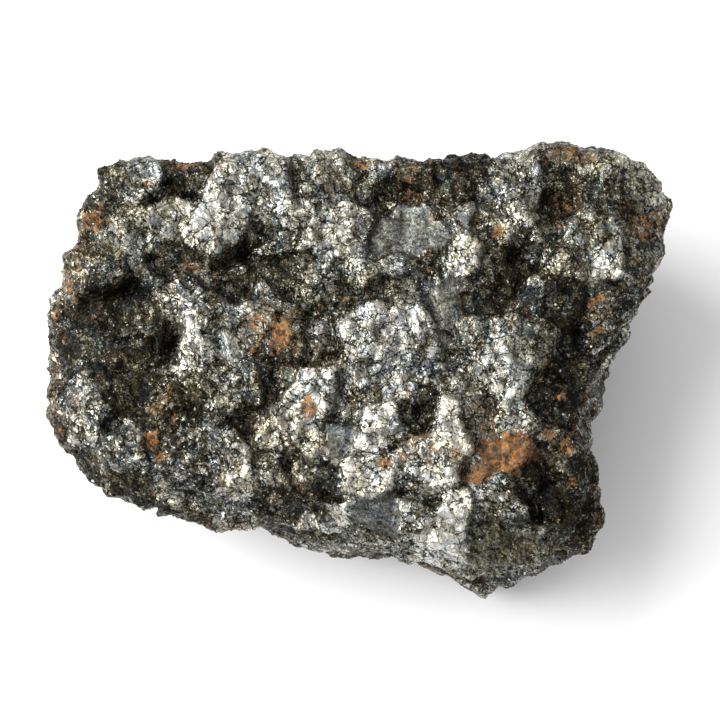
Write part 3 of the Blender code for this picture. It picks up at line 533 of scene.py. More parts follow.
def plain_block(rays):
    """The block before its relief: points, outward directions, rise from waist to face, nearness to waist.

    Each ray is stopped by the walls, the face and the underside at distances d. The point lies at
    (sum of d ** -sharpness) ** (-1 / sharpness), just inside the nearest of them.
    """
    around = np.degrees(np.arctan2(rays[:, 1], rays[:, 0]))
    outward = np.hypot(rays[:, 0], rays[:, 1])
    waist, lean_below, lean_above = round_table(around, WALLS)
    sharp, worn = outline_radius(around)
    from_waist = (HEART[2] + worn * rays[:, 2] / np.maximum(outward, 0.05) - waist) / OUTLINE_BAND
    near_waist = np.exp(-from_waist * from_waist)
    radius = OUTLINE_GROWTH * (worn + (sharp - worn) * near_waist)

    level = rays[:, :2] / np.maximum(outward, 1e-6)[:, None]
    still = np.zeros(len(rays))
    one = np.ones(len(rays))
    face_rise = FACE_FALL * one[:, None]
    sides = [
        (np.column_stack([level, -lean_below]), radius + lean_below * (HEART[2] - waist)),
        (np.column_stack([level, lean_above]), radius + lean_above * (waist - HEART[2])),
        (np.column_stack([-face_rise, one]), (FACE_HEIGHT - HEART[2]) * one),
        (np.column_stack([still, still, -one]), (HEART[2] - UNDERSIDE) * one),
    ]
    for compass, dip, distance in LOWER_BREAKS:
        turn, drop = np.radians(compass), np.radians(dip)
        plane = np.array([np.cos(turn) * np.cos(drop), np.sin(turn) * np.cos(drop), -np.sin(drop)])
        sides.append((plane * one[:, None], distance * one))
    shares = []
    for direction, distance in sides:
        closing = (direction * rays).sum(axis=1)
        shares.append(np.where(closing > 1e-4, np.maximum(closing, 1e-4) / distance, 0.0) ** EDGE_SHARPNESS)
    total = sum(shares)
    points = HEART + rays * total[:, None] ** (-1.0 / EDGE_SHARPNESS)
    normals = sum(share[:, None] * direction for share, (direction, _) in zip(shares, sides))
    normals /= np.linalg.norm(normals, axis=1)[:, None]
    rise = np.clip((points[:, 2] - waist) / (FACE_HEIGHT - waist), 0.0, 1.0)
    return points, normals, rise, near_waist


def ragged_places(points):
    """Each point's place over the face, pushed about by noise, so that no facet's border is straight."""
    place = points[:, :2].copy()
    for seed, (size, reach) in zip((31, 33), RAGGED_WAVES):
        place += reach * np.column_stack([soft_noise(points, size, seed), soft_noise(points, size, seed + 1)])
    return place


def facet_shares(place, blend):
    """How much each facet shows at each place: exp(-(span - nearest span) / blend), adding up to 1.

    A facet's span is the squared distance to its seed, less its squared reach.
    """
    x, y = place.T
    spans = np.array([(x - at_x) ** 2 + (y - at_y) ** 2 - reach ** 2 for at_x, at_y, reach, *_ in FACETS])
    shares = np.exp(-(spans - spans.min(axis=0)) / blend)
    return shares / shares.sum(axis=0)


def grooves(points):
    """Depth of the grooves and their painted shade: a bell curve of the distance to each line, ragged along
    its edge.
    """
    place = ragged_places(points)
    depth = np.zeros(len(points))
    groove_shade = np.zeros(len(points))
    for half_width, deep, shade, line in GROOVES:
        nearest = np.full(len(points), np.inf)
        for start, end in zip(np.array(line[:-1]), np.array(line[1:])):
            along = np.clip((place - start) @ (end - start) / ((end - start) ** 2).sum(), 0.0, 1.0)
            gap = place - start - along[:, None] * (end - start)
            nearest = np.minimum(nearest, (gap * gap).sum(axis=1))
        share = np.exp(-nearest / half_width ** 2)
        depth = np.maximum(depth, deep * share)
        groove_shade = np.maximum(groove_shade, shade * share)
    return depth, groove_shade


def placed_facets(points):
    """Height and smoothness of the listed facets: the plane whose seed is nearest shows most."""
    shares = facet_shares(ragged_places(points), FACET_BLEND)
    height = np.zeros(len(points))
    smooth = np.zeros(len(points))
    for share, (x, y, _, lift, rise_x, rise_y, name) in zip(shares, FACETS):
        slope = rise_x * (points[:, 0] - x) + rise_y * (points[:, 1] - y)
        height += share * (lift + np.clip(slope, -FACET_LIMIT, FACET_LIMIT))
        smooth += share * FINISHES[name][SMOOTH]
    return FACE_DEPTH * height, smooth


def thin_ledges(points):
    """Saw-toothed ledges along the layers of the left flank, fading out to the right."""
    along = points @ (LEDGE_DIP / np.linalg.norm(LEDGE_DIP))
    wave_size, wave_height = LEDGE_WAVES
    along = along + wave_height * soft_noise(points, wave_size, 41)
    tooth = along / LEDGE_PITCH - np.floor(along / LEDGE_PITCH)
    fade = 1.0 - smooth_step(points[:, 0], *LEDGE_ENDS)
    return LEDGE_DEPTH * fade * (tooth - 0.5)


def stone_surface(rays):
    """Where each ray meets the finished stone, its rise to the face, and how far it is up a small ridge, less
    the groove shade, for the painted light and shade of the tone.
    """
    points, normals, rise, near_waist = plain_block(rays)
    on_face = smooth_step(normals[:, 2], *FACE_TURN)
    off_face = 1.0 - on_face
    height, smooth = placed_facets(points)
    relief = broken_planes(points, *STEPS, seed=12) * (off_face + FACE_STEPS * on_face)
    ridge = np.zeros(len(points))
    for size, depth, turns, face_share, waist_share in CREASES:
        creases = creased_planes(points, size, turns, seed=int(size * 10))
        wall_share = 1.0 - (1.0 - waist_share) * near_waist
        calm = 1.0 - SMOOTH_CALM * smooth * on_face * (size < RIDGE_SIZE)
        relief += depth * calm * creases * (off_face * wall_share + on_face * face_share)
        ridge += calm * creases * (size < RIDGE_SIZE)
    relief += thin_ledges(points) * off_face
    noise_size, noise_height = SURFACE_WAVES
    relief += noise_height * soft_noise(points, noise_size, 13)
    relief *= 1.0 - BASE_WEAR * smooth_step(-normals[:, 2], *BASE_TURN)
    points = points + normals * relief[:, None]
    groove, groove_shade = grooves(points)
    points[:, 2] = np.maximum(points[:, 2] + (height - groove) * rise, 0.0)
    # painted shade: the grooves and ledge undersides lower the tone that ore_finish paints
    ridge -= groove_shade * rise / PAINTED_RIDGE_SHADING
    return points, rise, ridge


# Finish of the weathered walls, from old to fresh breaks
WALL_FINISHES = ("charcoal", "brown", "mottled", "olive", "grey", "crusty")
WALL_PATCH = 8.0            # size of a patch of one finish on the walls
WALL_CRISPNESS = 30.0       # how sharp the border between two patches is
WALL_WAVES = (4.0, 2.0)     # size and reach of the waves in those borders

# Finish of the face
FINISH_BLEND = 3.0          # square millimetres, the softness of the border between two facets' finishes
SMOOTH_BLEND = 0.9          # and between a smooth facet and a rough one
FINISH_WAVES = ((3.4, 1.1), (0.9, 0.8))     # sizes and reaches of the waves in those borders
FACE_FADE = (0.12, 0.50)    # rise over which the walls' finish gives way to the face's
FADE_WAVES = (3.0, 0.15)    # size of the waves in that fade, and how ragged they make it
SMOOTH_RISE = (0.55, 0.85)  # rise over which smooth finishes set in

# The stains' ragged edges: size and strength of two waves, how far out they reach, and how fast they fade
STAIN_WAVES = ((1.6, 0.55), (0.7, 0.385))
STAIN_REACH = 1.25
STAIN_FADE = 0.5
STAIN_RISE = (0.0, 0.2)     # rise over which they set in
STAIN_WARMTH = 0.6          # how warm the ore is under them


def stains(points):
    """How rusty each place is: 1 - distance in an ellipse's own measure, roughened, kept from 0 to 1."""
    rough = sum(strength * soft_noise(points, size, 51 + k) for k, (size, strength) in enumerate(STAIN_WAVES))
    rust = np.zeros(len(points))
    for x, y, length, width, degrees, strength in STAINS:
        turn = np.radians(degrees)
        across = (points[:, 0] - x) * np.cos(turn) + (points[:, 1] - y) * np.sin(turn)
        along = (points[:, 1] - y) * np.cos(turn) - (points[:, 0] - x) * np.sin(turn)
        reach = np.hypot(across / length, along / width)
        rust = np.maximum(rust, strength * smooth_step(STAIN_REACH - reach + rough, 0.0, STAIN_FADE))
    return rust


def wall_finish(points):
    """Finish of the walls: patches chosen by the nearest of the jittered points of a lattice."""
    wave_size, wave_reach = WALL_WAVES
    waves = np.column_stack([soft_noise(points, wave_size, 60 + k) for k in range(3)])
    scaled = (points + wave_reach * waves) / WALL_PATCH
    home = np.floor(scaled)
    kinds = np.array([FINISHES[name] for name in WALL_FINISHES])
    total = np.zeros((len(points), kinds.shape[1]))
    weight = np.zeros(len(points))
    for shift in lattice_shifts(-1, 2):
        numbers = cell_numbers(home + shift, 71, 4)
        gap = scaled - home - shift - numbers[:, :3]
        share = np.exp(-WALL_CRISPNESS * (gap * gap).sum(axis=1))
        total += share[:, None] * kinds[(numbers[:, 3] * len(kinds)).astype(int)]
        weight += share
    return total / weight[:, None]


def ore_finish(points, rise, ridge):
    """Finish at each point of the block: five shares, as in the table of finishes.

    The face takes the finish of the facets near a place, the walls take random patches, and the stains
    add rust to both. Light and shade are painted into the tone: lighter on small ridges, darker in hollows
    and grooves.
    """
    place = ragged_places(points)
    for size, reach in FINISH_WAVES:
        place += reach * np.column_stack([soft_noise(points, size, 53), soft_noise(points, size, 54)])
    kinds = np.array([FINISHES[name] for *_, name in FACETS])
    face = facet_shares(place, FINISH_BLEND).T @ kinds
    face[:, SMOOTH] = facet_shares(place, SMOOTH_BLEND).T @ kinds[:, SMOOTH]
    fade_size, fade_reach = FADE_WAVES
    on_face = smooth_step(rise + fade_reach * soft_noise(points, fade_size, 55), *FACE_FADE)[:, None]
    finish = on_face * face + (1.0 - on_face) * wall_finish(points)
    finish[:, SMOOTH] *= smooth_step(rise, *SMOOTH_RISE)
    rust = stains(points) * smooth_step(rise, *STAIN_RISE)
    finish[:, RUST] = np.maximum(finish[:, RUST], rust)
    finish[:, WARM] = np.maximum(finish[:, WARM], STAIN_WARMTH * rust)
    # painted light and shade: the tone is raised on small ridges and lowered in hollows and grooves
    finish[:, TONE] += PAINTED_RIDGE_SHADING * ridge
    return finish


def put_colours(mesh, name, values):
    """Three numbers a point, kept on the mesh under a name."""
    layer = mesh.attributes.new(name, "FLOAT_COLOR", "POINT")
    values = np.column_stack([values, np.ones(len(values))])
    layer.data.foreach_set("color", values.astype(np.float32).ravel())


def new_piece(name, points, corners, sizes, uv):
    """A mesh object from whole arrays: points in millimetres, corner indices and faces' corner counts."""
    mesh = bpy.data.meshes.new(name)
    mesh.vertices.add(len(points))
    mesh.vertices.foreach_set("co", (points * MM).astype(np.float32).ravel())
    mesh.loops.add(len(corners))
    mesh.loops.foreach_set("vertex_index", corners.astype(np.int32))
    mesh.polygons.add(len(sizes))
    mesh.polygons.foreach_set("loop_start", (np.cumsum(sizes) - sizes).astype(np.int32))
    mesh.update(calc_edges=True)
    layer = mesh.uv_layers.new(name="OFBake")
    layer.uv.foreach_set("vector", uv.astype(np.float32).ravel())
    piece = bpy.data.objects.new(name, mesh)
    bpy.context.scene.collection.objects.link(piece)
    return piece


def dress(piece, finish, material):
    """Gives a piece its finish numbers and its material, and ties it to the stone's one body."""
    put_colours(piece.data, "ore_tone", finish[:, [TONE, OLIVE, RUST]])
    touch = np.column_stack([finish[:, [SMOOTH, WARM]], np.zeros(len(finish))])
    put_colours(piece.data, "ore_touch", touch)
    piece.data.materials.append(material)
    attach(piece, "root")
    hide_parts("ore_stone")


def stone_skin():
    """The stone's fine surface: points on rays through a box grid whose points wander a little.

    Returns its points, faces, UV corners, finish and rise.
    """
    lattice, faces, uv = box_grid(FINE_STEPS)
    wander = (cell_numbers(lattice, 91, 3) * 2.0 - 1.0) * GRID_WANDER
    steps = np.array(FINE_STEPS)
    inside = (lattice > 0) & (lattice < steps)
    grid = (lattice + wander * inside) * 2.0 / steps - 1.0
    points, rise, ridge = stone_surface(unit(grid * HALF_BOX))
    return points, faces, uv, ore_finish(points, rise, ridge), rise


# Crystals: how many are tried on each cell of the skin's grid, their sizes, and how they stand
CRYSTALS_A_CELL = 2
CRYSTAL_WIDTH = (0.18, 0.48)
CRYSTAL_RARITY = 2.0            # how rare the wide ones are
CRYSTAL_LENGTH = (1.0, 2.0)     # times the width
CRYSTAL_HEIGHT = (0.10, 0.45)   # times the width
CRYSTAL_RIDGE = 0.8             # length of the ridge, times the crystal's
CRYSTAL_SUNK = 0.25
CRYSTAL_TILT = 0.30
CRYSTAL_BELTS = ("back", "upper", "middle", "front")     # pieces that share the crystals, from back to front

# Where crystals are rare: share left on the walls, shares left out on smooth and bright ore, bare foot
WALL_CRYSTALS = 0.25
CRYSTAL_RISE = (0.0, 0.5)       # rise over which they grow as many as on the face
SMOOTH_BARE = (0.92, 0.35, 0.75)    # share left out, and how smooth the ore is where that starts and ends
BRIGHT_BARE = (0.85, 0.45, 0.85)    # share left out, and how bright the ore is where that starts and ends
BARE_FOOT = (0.5, 1.5)          # height over the table

# A crystal's eight triangles, over the four corners of its base and the two ends of its ridge, and where
# these six lie on its square of the UV sheet
CRYSTAL_TRIANGLES = np.array([
    (3, 2, 1), (3, 1, 0), (0, 1, 4), (2, 3, 5), (1, 2, 5), (1, 5, 4), (3, 0, 4), (3, 4, 5),
])
CRYSTAL_SHEET = np.array([(0.2, 0.2), (0.8, 0.2), (0.8, 0.8), (0.2, 0.8), (0.5, 0.3), (0.5, 0.7)])


def crystal_seeds(points, faces, finish, rise):
    """Where crystals stand: places on the skin's cells, their outward directions, finish and randoms."""
    corners = points[faces]
    normals = unit(np.cross(corners[:, 2] - corners[:, 0], corners[:, 3] - corners[:, 1]))
    finish = finish[faces].mean(axis=1)
    wanted = WALL_CRYSTALS + (1.0 - WALL_CRYSTALS) * smooth_step(rise[faces].mean(axis=1), *CRYSTAL_RISE)
    for column, (bare, start, end) in ((SMOOTH, SMOOTH_BARE), (TONE, BRIGHT_BARE)):
        wanted *= 1.0 - bare * smooth_step(finish[:, column], start, end)
    wanted *= smooth_step(corners[:, :, 2].min(axis=1), *BARE_FOOT)
    number = np.arange(len(faces))
    found = []
    for turn in range(CRYSTALS_A_CELL):
        randoms = cell_numbers(np.column_stack([number, number * 0 + turn, number * 0]), 101, 12)
        kept = randoms[:, 0] < wanted
        u, v = randoms[kept, 1:2], randoms[kept, 2:3]
        cell = corners[kept]
        low = cell[:, 0] * (1 - u) + cell[:, 1] * u
        high = cell[:, 3] * (1 - u) + cell[:, 2] * u
        found.append((low * (1 - v) + high * v, normals[kept], finish[kept], randoms[kept]))
    return [np.concatenate(column) for column in zip(*found)]


def roof_crystals(places, normals, randoms):
    """Roof-shaped crystals: a sunk base of four corners and a ridge along the crystal's length.

    With a across the length, b along it and n up, the base is (+-a, +-b, -sunk) and the ridge
    (0, +-0.8 b, height), all tilted at random about the outward direction.
    """
    up = unit(normals + CRYSTAL_TILT * (randoms[:, 3:6] * 2.0 - 1.0))
    along = unit(np.cross(up, randoms[:, 6:9] * 2.0 - 1.0))
    side = np.cross(up, along)
    small, large = CRYSTAL_WIDTH
    width = small + (large - small) * randoms[:, 9:10] ** CRYSTAL_RARITY
    short, long = CRYSTAL_LENGTH
    length = width * (short + (long - short) * randoms[:, 10:11])
    low, high = CRYSTAL_HEIGHT
    height = width * (low + (high - low) * randoms[:, 11:12])
    a, b, sunk = side * width / 2.0, along * length / 2.0, up * CRYSTAL_SUNK
    top, ridge = up * height, CRYSTAL_RIDGE * b
    points = [-a - b - sunk, a - b - sunk, a + b - sunk, -a + b - sunk, top - ridge, top + ridge]
    points = np.stack([places + point for point in points], axis=1)
    starts = np.arange(len(places)) * len(CRYSTAL_SHEET)
    corners = CRYSTAL_TRIANGLES[None] + starts[:, None, None]
    return points.reshape(-1, 3), corners.reshape(-1)


def crystal_uv(count):
    """Each crystal's corners in a cell of their own on a square sheet."""
    rows = int(np.ceil(np.sqrt(count)))
    number = np.arange(count)
    home = np.column_stack([number % rows, number // rows]) / rows
    local = CRYSTAL_SHEET[CRYSTAL_TRIANGLES.reshape(-1)] / rows
    return (home[:, None] + local[None]).reshape(-1, 2)


class Nodes:
    """A material's node tree, with short calls for the nodes that the finishes need."""

    def __init__(self, name):
        self.material = bpy.data.materials.new(name)
        self.material.use_nodes = True
        self.tree = self.material.node_tree
        self.shader = self.tree.nodes["Principled BSDF"]

    def add(self, kind, **settings):
        """A node with its settings."""
        node = self.tree.nodes.new(kind)
        for key, value in settings.items():
            setattr(node, key, value)
        return node

    def put(self, socket, value):
        """A number, a colour or another node's output, put into a socket."""
        if isinstance(value, bpy.types.NodeSocket):
            self.tree.links.new(value, socket)
        else:
            socket.default_value = value

    def maths(self, operation, *values, clamp=False):
        """One arithmetic step."""
        node = self.add("ShaderNodeMath", operation=operation, use_clamp=clamp)
        for socket, value in zip(node.inputs, values):
            self.put(socket, value)
        return node.outputs[0]

    def plus(self, first, second):
        """The sum of two values."""
        return self.maths("ADD", first, second)

    def less(self, first, second):
        """One value less another."""
        return self.maths("SUBTRACT", first, second)

    def times(self, first, second):
        """The product of two values."""
        return self.maths("MULTIPLY", first, second)

    def swing(self, value, reach):
        """A value from 0 to 1 made one that swings evenly round 0."""
        return self.times(self.less(value, 0.5), reach)

    def vector(self, operation, *values):
        """One step of vector arithmetic."""
        node = self.add("ShaderNodeVectorMath", operation=operation)
        for socket, value in zip(node.inputs, values):
            self.put(socket, value)
        return node.outputs["Vector"]

    def scaled(self, vector, factor):
        """A vector made longer or shorter."""
        node = self.add("ShaderNodeVectorMath", operation="SCALE")
        self.put(node.inputs["Vector"], vector)
        self.put(node.inputs["Scale"], factor)
        return node.outputs["Vector"]

    def lean(self, colour, reach):
        """A random colour made a vector that leans evenly to all sides."""
        return self.scaled(self.vector("SUBTRACT", colour, (0.5, 0.5, 0.5)), reach)

    def ramp(self, value, low, high, to_low=0.0, to_high=1.0):
        """A value carried from one range to another by a smooth step."""
        node = self.add("ShaderNodeMapRange", interpolation_type="SMOOTHSTEP")
        for socket, number in zip(node.inputs, (value, low, high, to_low, to_high)):
            self.put(socket, number)
        return node.outputs["Result"]

    def between(self, share, low, high):
        """A value from low to high as a share goes from 0 to 1, by a smooth step."""
        return self.ramp(share, 0.0, 1.0, low, high)

    def mix(self, share, first, second, blend="MIX"):
        """Two colours mixed by a share. Sockets 6 and 7 take the colours, and output 2 gives the result."""
        node = self.add("ShaderNodeMix", data_type="RGBA", blend_type=blend)
        self.put(node.inputs[0], share)
        self.put(node.inputs[6], first)
        self.put(node.inputs[7], second)
        return node.outputs[2]

    def tones(self, value):
        """The ore's colour for a tone."""
        node = self.add("ShaderNodeValToRGB")
        ramp = node.color_ramp
        while len(ramp.elements) < len(ORE_TONES):
            ramp.elements.new(0.5)
        for element, (place, colour) in zip(ramp.elements, ORE_TONES):
            element.position = place
            element.color = colour
        self.put(node.inputs[0], value)
        return node.outputs[0]

    def parts(self, colour):
        """The three numbers of a colour."""
        node = self.add("ShaderNodeSeparateColor")
        self.put(node.inputs[0], colour)
        return list(node.outputs)

    def kept(self, name):
        """The three numbers that a piece keeps under a name."""
        return self.parts(self.add("ShaderNodeAttribute", attribute_name=name).outputs["Color"])

    def noise(self, place, size, detail, roughness):
        """Smooth noise with waves as wide as size, in millimetres: its value and its colour."""
        node = self.add("ShaderNodeTexNoise", noise_dimensions="3D")
        keys = ("Vector", "Scale", "Detail", "Roughness")
        for key, value in zip(keys, (place, 1.0 / size, detail, roughness)):
            self.put(node.inputs[key], value)
        return node.outputs

    def cells(self, place, size, feature="F1"):
        """Cells as wide as size, in millimetres."""
        node = self.add("ShaderNodeTexVoronoi", voronoi_dimensions="3D", feature=feature)
        self.put(node.inputs["Vector"], place)
        self.put(node.inputs["Scale"], 1.0 / size)
        return node.outputs

    def gaps(self, place, size, width):
        """The gaps between cells: 1 on their borders and 0 beyond a width."""
        distance = self.cells(place, size, "DISTANCE_TO_EDGE")["Distance"]
        return self.ramp(distance, 0.0, width, 1.0, 0.0)

    def stretched(self, place, turns, stretch):
        """A place turned and stretched, so that what is drawn on it runs in one direction."""
        node = self.add("ShaderNodeMapping", vector_type="TEXTURE")
        for key, value in zip(("Vector", "Rotation", "Scale"), (place, turns, stretch)):
            self.put(node.inputs[key], value)
        return node.outputs[0]


# Colours of the ore, from the darkest grain to the brightest: tone, colour
ORE_TONES = [
    (0.00, (0.008, 0.0078, 0.0066, 1.0)),
    (0.25, (0.039, 0.0388, 0.0325, 1.0)),
    (0.50, (0.119, 0.1210, 0.1070, 1.0)),
    (0.75, (0.290, 0.2940, 0.2740, 1.0)),
    (1.00, (0.700, 0.7030, 0.6720, 1.0)),
]
COOL_TINT = (0.72, 0.95, 1.26, 1.0)
EARTH_TINT = (1.28, 1.03, 0.54, 1.0)
OLIVE_TINT = (0.62, 0.60, 0.38, 1.0)
CREAM_TINT = (1.00, 0.92, 0.75, 1.0)
SLATE_ORE = (0.078, 0.084, 0.081, 1.0)
MOSS_ORE = (0.100, 0.097, 0.074, 1.0)
LAYER_DARK = (0.18, 0.18, 0.18, 1.0)
LAYER_PALE = (2.20, 2.20, 2.20, 1.0)
RUST_DARK = (0.045, 0.020, 0.008, 1.0)
RUST_BRIGHT = (0.35, 0.132, 0.020, 1.0)
RUST_PALE = (0.34, 0.200, 0.062, 1.0)

# Sizes of the grains, the flakes that they form and the plates that those form, in millimetres
GRAIN_SIZE = 0.23
FLAKE_SIZE = 0.60
PLATE_SIZE = 2.3
FLAKE_GAP = 0.10            # width of the gaps between flakes, as a share of a flake
PLATE_GAP = 0.05

# How far each kind leans from the surface
GRAIN_TILT = 0.5
LOOSE_GRAIN_TILT = 0.10     # the crystals lean by themselves
FLAKE_TILT = 0.6
PLATE_TILT = 0.6

# How the grains, streaks and cracks run: turns in radians, and how long they are along X, Y and Z
PLATE_RUN = ((0.3, 0.0, -0.6), (1.3, 1.0, 1.2))
GRAIN_RUN = ((0.2, 0.4, 0.5), (1.0, 1.8, 1.1))
STREAK_RUN = ((0.0, 0.3, -0.5), (1.0, 4.0, 1.2))
LAYER_RUN = ((0.2, 0.0, 0.25), (5.0, 1.0, 1.0))
CRACK_RUN = ((0.3, 0.0, 0.3), (1.4, 1.0, 1.0))

# Waves: size in millimetres, how many finer waves ride on them, and how strong those are
BEND_WAVES = (1.1, 3.0, 0.6)
PATCH_WAVES = (3.2, 3.0, 0.6)
STREAK_WAVES = (0.45, 3.0, 0.7)
LAYER_WAVES = (0.70, 4.0, 0.75)
SPECKLE_WAVES = (0.50, 4.0, 0.8)
CRACK_WAVES = (3.4, 3.0, 0.6)
HUE_WAVES = (1.7, 2.0, 0.6)
BROAD_HUE_WAVES = (5.5, 2.0, 0.5)
SCAB_WAVES = (0.9, 3.0, 0.7)
CRUMB_WAVES = (0.9, 4.0, 0.8)
PIT_WAVES = (0.16, 2.0, 0.6)
BEND_REACH = 1.1            # how far the first of them bend the grains and streaks

# How much the tone changes from patch to patch, plate to plate, and so on down to the speckle and streaks
TONE_SWINGS = (0.60, 0.40, 0.50, 0.55, 0.90, 0.45)
MIDDLE_TONES = (0.1, 0.9)   # the tones between dark and bright places
SWING_SHARES = (1.35, 0.72)     # how much of the swings dark and bright places take
CRACK_SHADE = 0.50          # painted shade: how much darker the gaps between flakes and plates are painted
TIGHT_GAP_SHADE = 0.10      # and the gaps between flakes where the ore is dense
TIGHT_PATCHES = (0.40, 0.60)
# painted shade in the long cracks: how much darker, and how wide
LONG_CRACK_SHADE = 0.70
LONG_CRACK_WIDTH = 0.022
PAINTED_GLINT_SHARE = 0.04          # how many grains get a painted glint
PAINTED_GLINT = 0.45                # and how much brighter the painted glint makes them

# The smooth slate and moss places: ragged border, how much they cover, contrast of their layers
SMOOTH_RAGS = (0.4, 0.25)
SMOOTH_FROM = (0.36, 0.50)
SMOOTH_COVER = 0.72
MOSS_FROM = (0.3, 0.8)      # how olive a smooth place is where slate gives way to moss
LAYER_RAGS = (0.8, 0.25)
LAYER_FROM = (0.28, 0.74)

# How far the hue drifts between cool and earthy, and how little of the tints bright and smooth places take
BROAD_HUE_REACH = 0.7
EARTH_FROM = (0.32, 0.62)
DRIFT_BY_TONE = (0.0, 0.75, 1.0, 0.18)
SMOOTH_DRIFT = 0.40
TINT_BY_TONE = (0.5, 1.0, 1.0, 0.5)
OLIVE_BY_GRAIN = (0.45, 1.0)    # from the grain that takes the olive least to the one that takes it most

# Rust: how ragged its scabs are and where they set in, how much some grains take, and its own colours
SCAB_RAGS = (2.4, 0.5)
RUST_FROM = (0.35, 0.85)
RUST_BY_GRAIN = (0.0, 0.5, 0.5, 1.0)
CRUMB_RAGS = (2.4, 0.35)
RUST_BRIGHT_FROM = (-0.25, 0.45)
RUST_PALE_FROM = (0.45, 0.70, 0.0, 0.6)

# Gloss
METAL = (0.86, 0.92)        # how metallic dark and bright grains are
SMOOTH_METAL = 0.95         # and what that is multiplied by on smooth places
ROUGHNESS = (0.26, 0.52)    # from the most polished grain to the dullest
RUST_ROUGHNESS = 0.35       # how much rougher the rust is
SMOOTH_TILT = 0.25          # how much of the lean is left on smooth places
PIT_DEPTH = 0.00009         # metres
PIT_STRENGTH = 0.6


def ore_patterns(n, loose_grains):
    """The patterns that the ore's tone, colour and gloss draw on.

    The skin takes the three random numbers of each grain from cells, and the loose crystals take theirs
    from the numbers that they keep themselves.
    """
    o = SimpleNamespace()
    o.place = n.scaled(n.add("ShaderNodeTexCoord").outputs["Object"], 1.0 / MM)
    o.bent = n.vector("ADD", o.place, n.lean(n.noise(o.place, *BEND_WAVES)[1], BEND_REACH))
    grain_place = n.stretched(o.bent, *GRAIN_RUN)
    plate_place = n.stretched(o.bent, *PLATE_RUN)
    o.crack_place = n.stretched(o.bent, *CRACK_RUN)
    grains = n.cells(grain_place, GRAIN_SIZE)["Color"]
    flakes = n.cells(grain_place, FLAKE_SIZE)["Color"]
    plates = n.cells(plate_place, PLATE_SIZE)["Color"]
    o.grain = n.kept("grain_luck") if loose_grains else n.parts(grains)
    o.flake = n.parts(flakes)
    o.plate = n.parts(plates)
    o.flake_gaps = n.gaps(grain_place, FLAKE_SIZE, FLAKE_GAP)
    o.plate_gaps = n.gaps(plate_place, PLATE_SIZE, PLATE_GAP)
    o.tilt = n.lean(grains, LOOSE_GRAIN_TILT if loose_grains else GRAIN_TILT)
    o.tilt = n.vector("ADD", o.tilt, n.lean(flakes, FLAKE_TILT))
    o.tilt = n.vector("ADD", o.tilt, n.lean(plates, PLATE_TILT))
    o.patches = n.noise(o.place, *PATCH_WAVES)[0]
    o.streaks = n.noise(n.stretched(o.bent, *STREAK_RUN), *STREAK_WAVES)[0]
    o.layers = n.noise(n.stretched(o.bent, *LAYER_RUN), *LAYER_WAVES)[0]
    o.speckle = n.noise(o.place, *SPECKLE_WAVES)[0]
    o.hue = n.noise(o.place, *HUE_WAVES)[0]
    return o


def ore_tone(n, o, finish_tone):
    """Tone of each grain: the finish's tone, swung by the patterns, darker where the shade in cracks is
    painted, brighter where a glint is painted.

    A long crack runs where smooth noise passes its middle value.
    """
    patterns = (o.patches, o.plate[0], o.flake[0], o.grain[0], o.speckle, o.streaks)
    swings = 0.0
    for pattern, reach in zip(patterns, TONE_SWINGS):
        swings = n.plus(swings, n.swing(pattern, reach))
    tone = n.plus(finish_tone, n.times(swings, n.ramp(finish_tone, *MIDDLE_TONES, *SWING_SHARES)))
    # painted shade in the cracks: the gaps between flakes and plates, and the long cracks, darken the tone
    gap_shade = n.ramp(o.patches, *TIGHT_PATCHES, TIGHT_GAP_SHADE, CRACK_SHADE)
    tone = n.less(tone, n.times(o.flake_gaps, gap_shade))
    tone = n.less(tone, n.times(o.plate_gaps, CRACK_SHADE))
    middle = n.maths("ABSOLUTE", n.swing(n.noise(o.crack_place, *CRACK_WAVES)[0], 1.0))
    tone = n.less(tone, n.ramp(middle, 0.0, LONG_CRACK_WIDTH, LONG_CRACK_SHADE, 0.0))
    # painted highlight: a few grains at random get a painted glint
    painted_glints = n.maths("GREATER_THAN", o.grain[2], 1.0 - PAINTED_GLINT_SHARE)
    return n.plus(tone, n.times(painted_glints, PAINTED_GLINT))


def ore_colour(n, o, tone, smooth_by, olive, warm):
    """Colour by tone, with smooth layered places, a slow drift of hue, and olive and cream tints."""
    ore = n.tones(tone)
    slate = n.mix(n.ramp(olive, *MOSS_FROM), SLATE_ORE, MOSS_ORE)
    rags = n.plus(n.swing(o.speckle, LAYER_RAGS[0]), n.swing(o.grain[0], LAYER_RAGS[1]))
    layers = n.ramp(n.plus(o.layers, rags), *LAYER_FROM)
    slate = n.mix(1.0, slate, n.mix(layers, LAYER_DARK, LAYER_PALE), "MULTIPLY")
    ore = n.mix(n.times(smooth_by, SMOOTH_COVER), ore, slate)

    hue = n.plus(o.hue, n.swing(n.noise(o.place, *BROAD_HUE_WAVES)[0], BROAD_HUE_REACH))
    tint = n.mix(n.ramp(hue, *EARTH_FROM), COOL_TINT, EARTH_TINT)
    drift = n.times(n.ramp(tone, *DRIFT_BY_TONE), n.between(smooth_by, 1.0, SMOOTH_DRIFT))
    ore = n.mix(drift, ore, tint, "MULTIPLY")
    by_tone = n.ramp(tone, *TINT_BY_TONE)
    olive = n.times(n.times(olive, by_tone), n.between(o.grain[1], *OLIVE_BY_GRAIN))
    ore = n.mix(olive, ore, OLIVE_TINT, "MULTIPLY")
    return n.mix(n.times(warm, by_tone), ore, CREAM_TINT, "MULTIPLY")


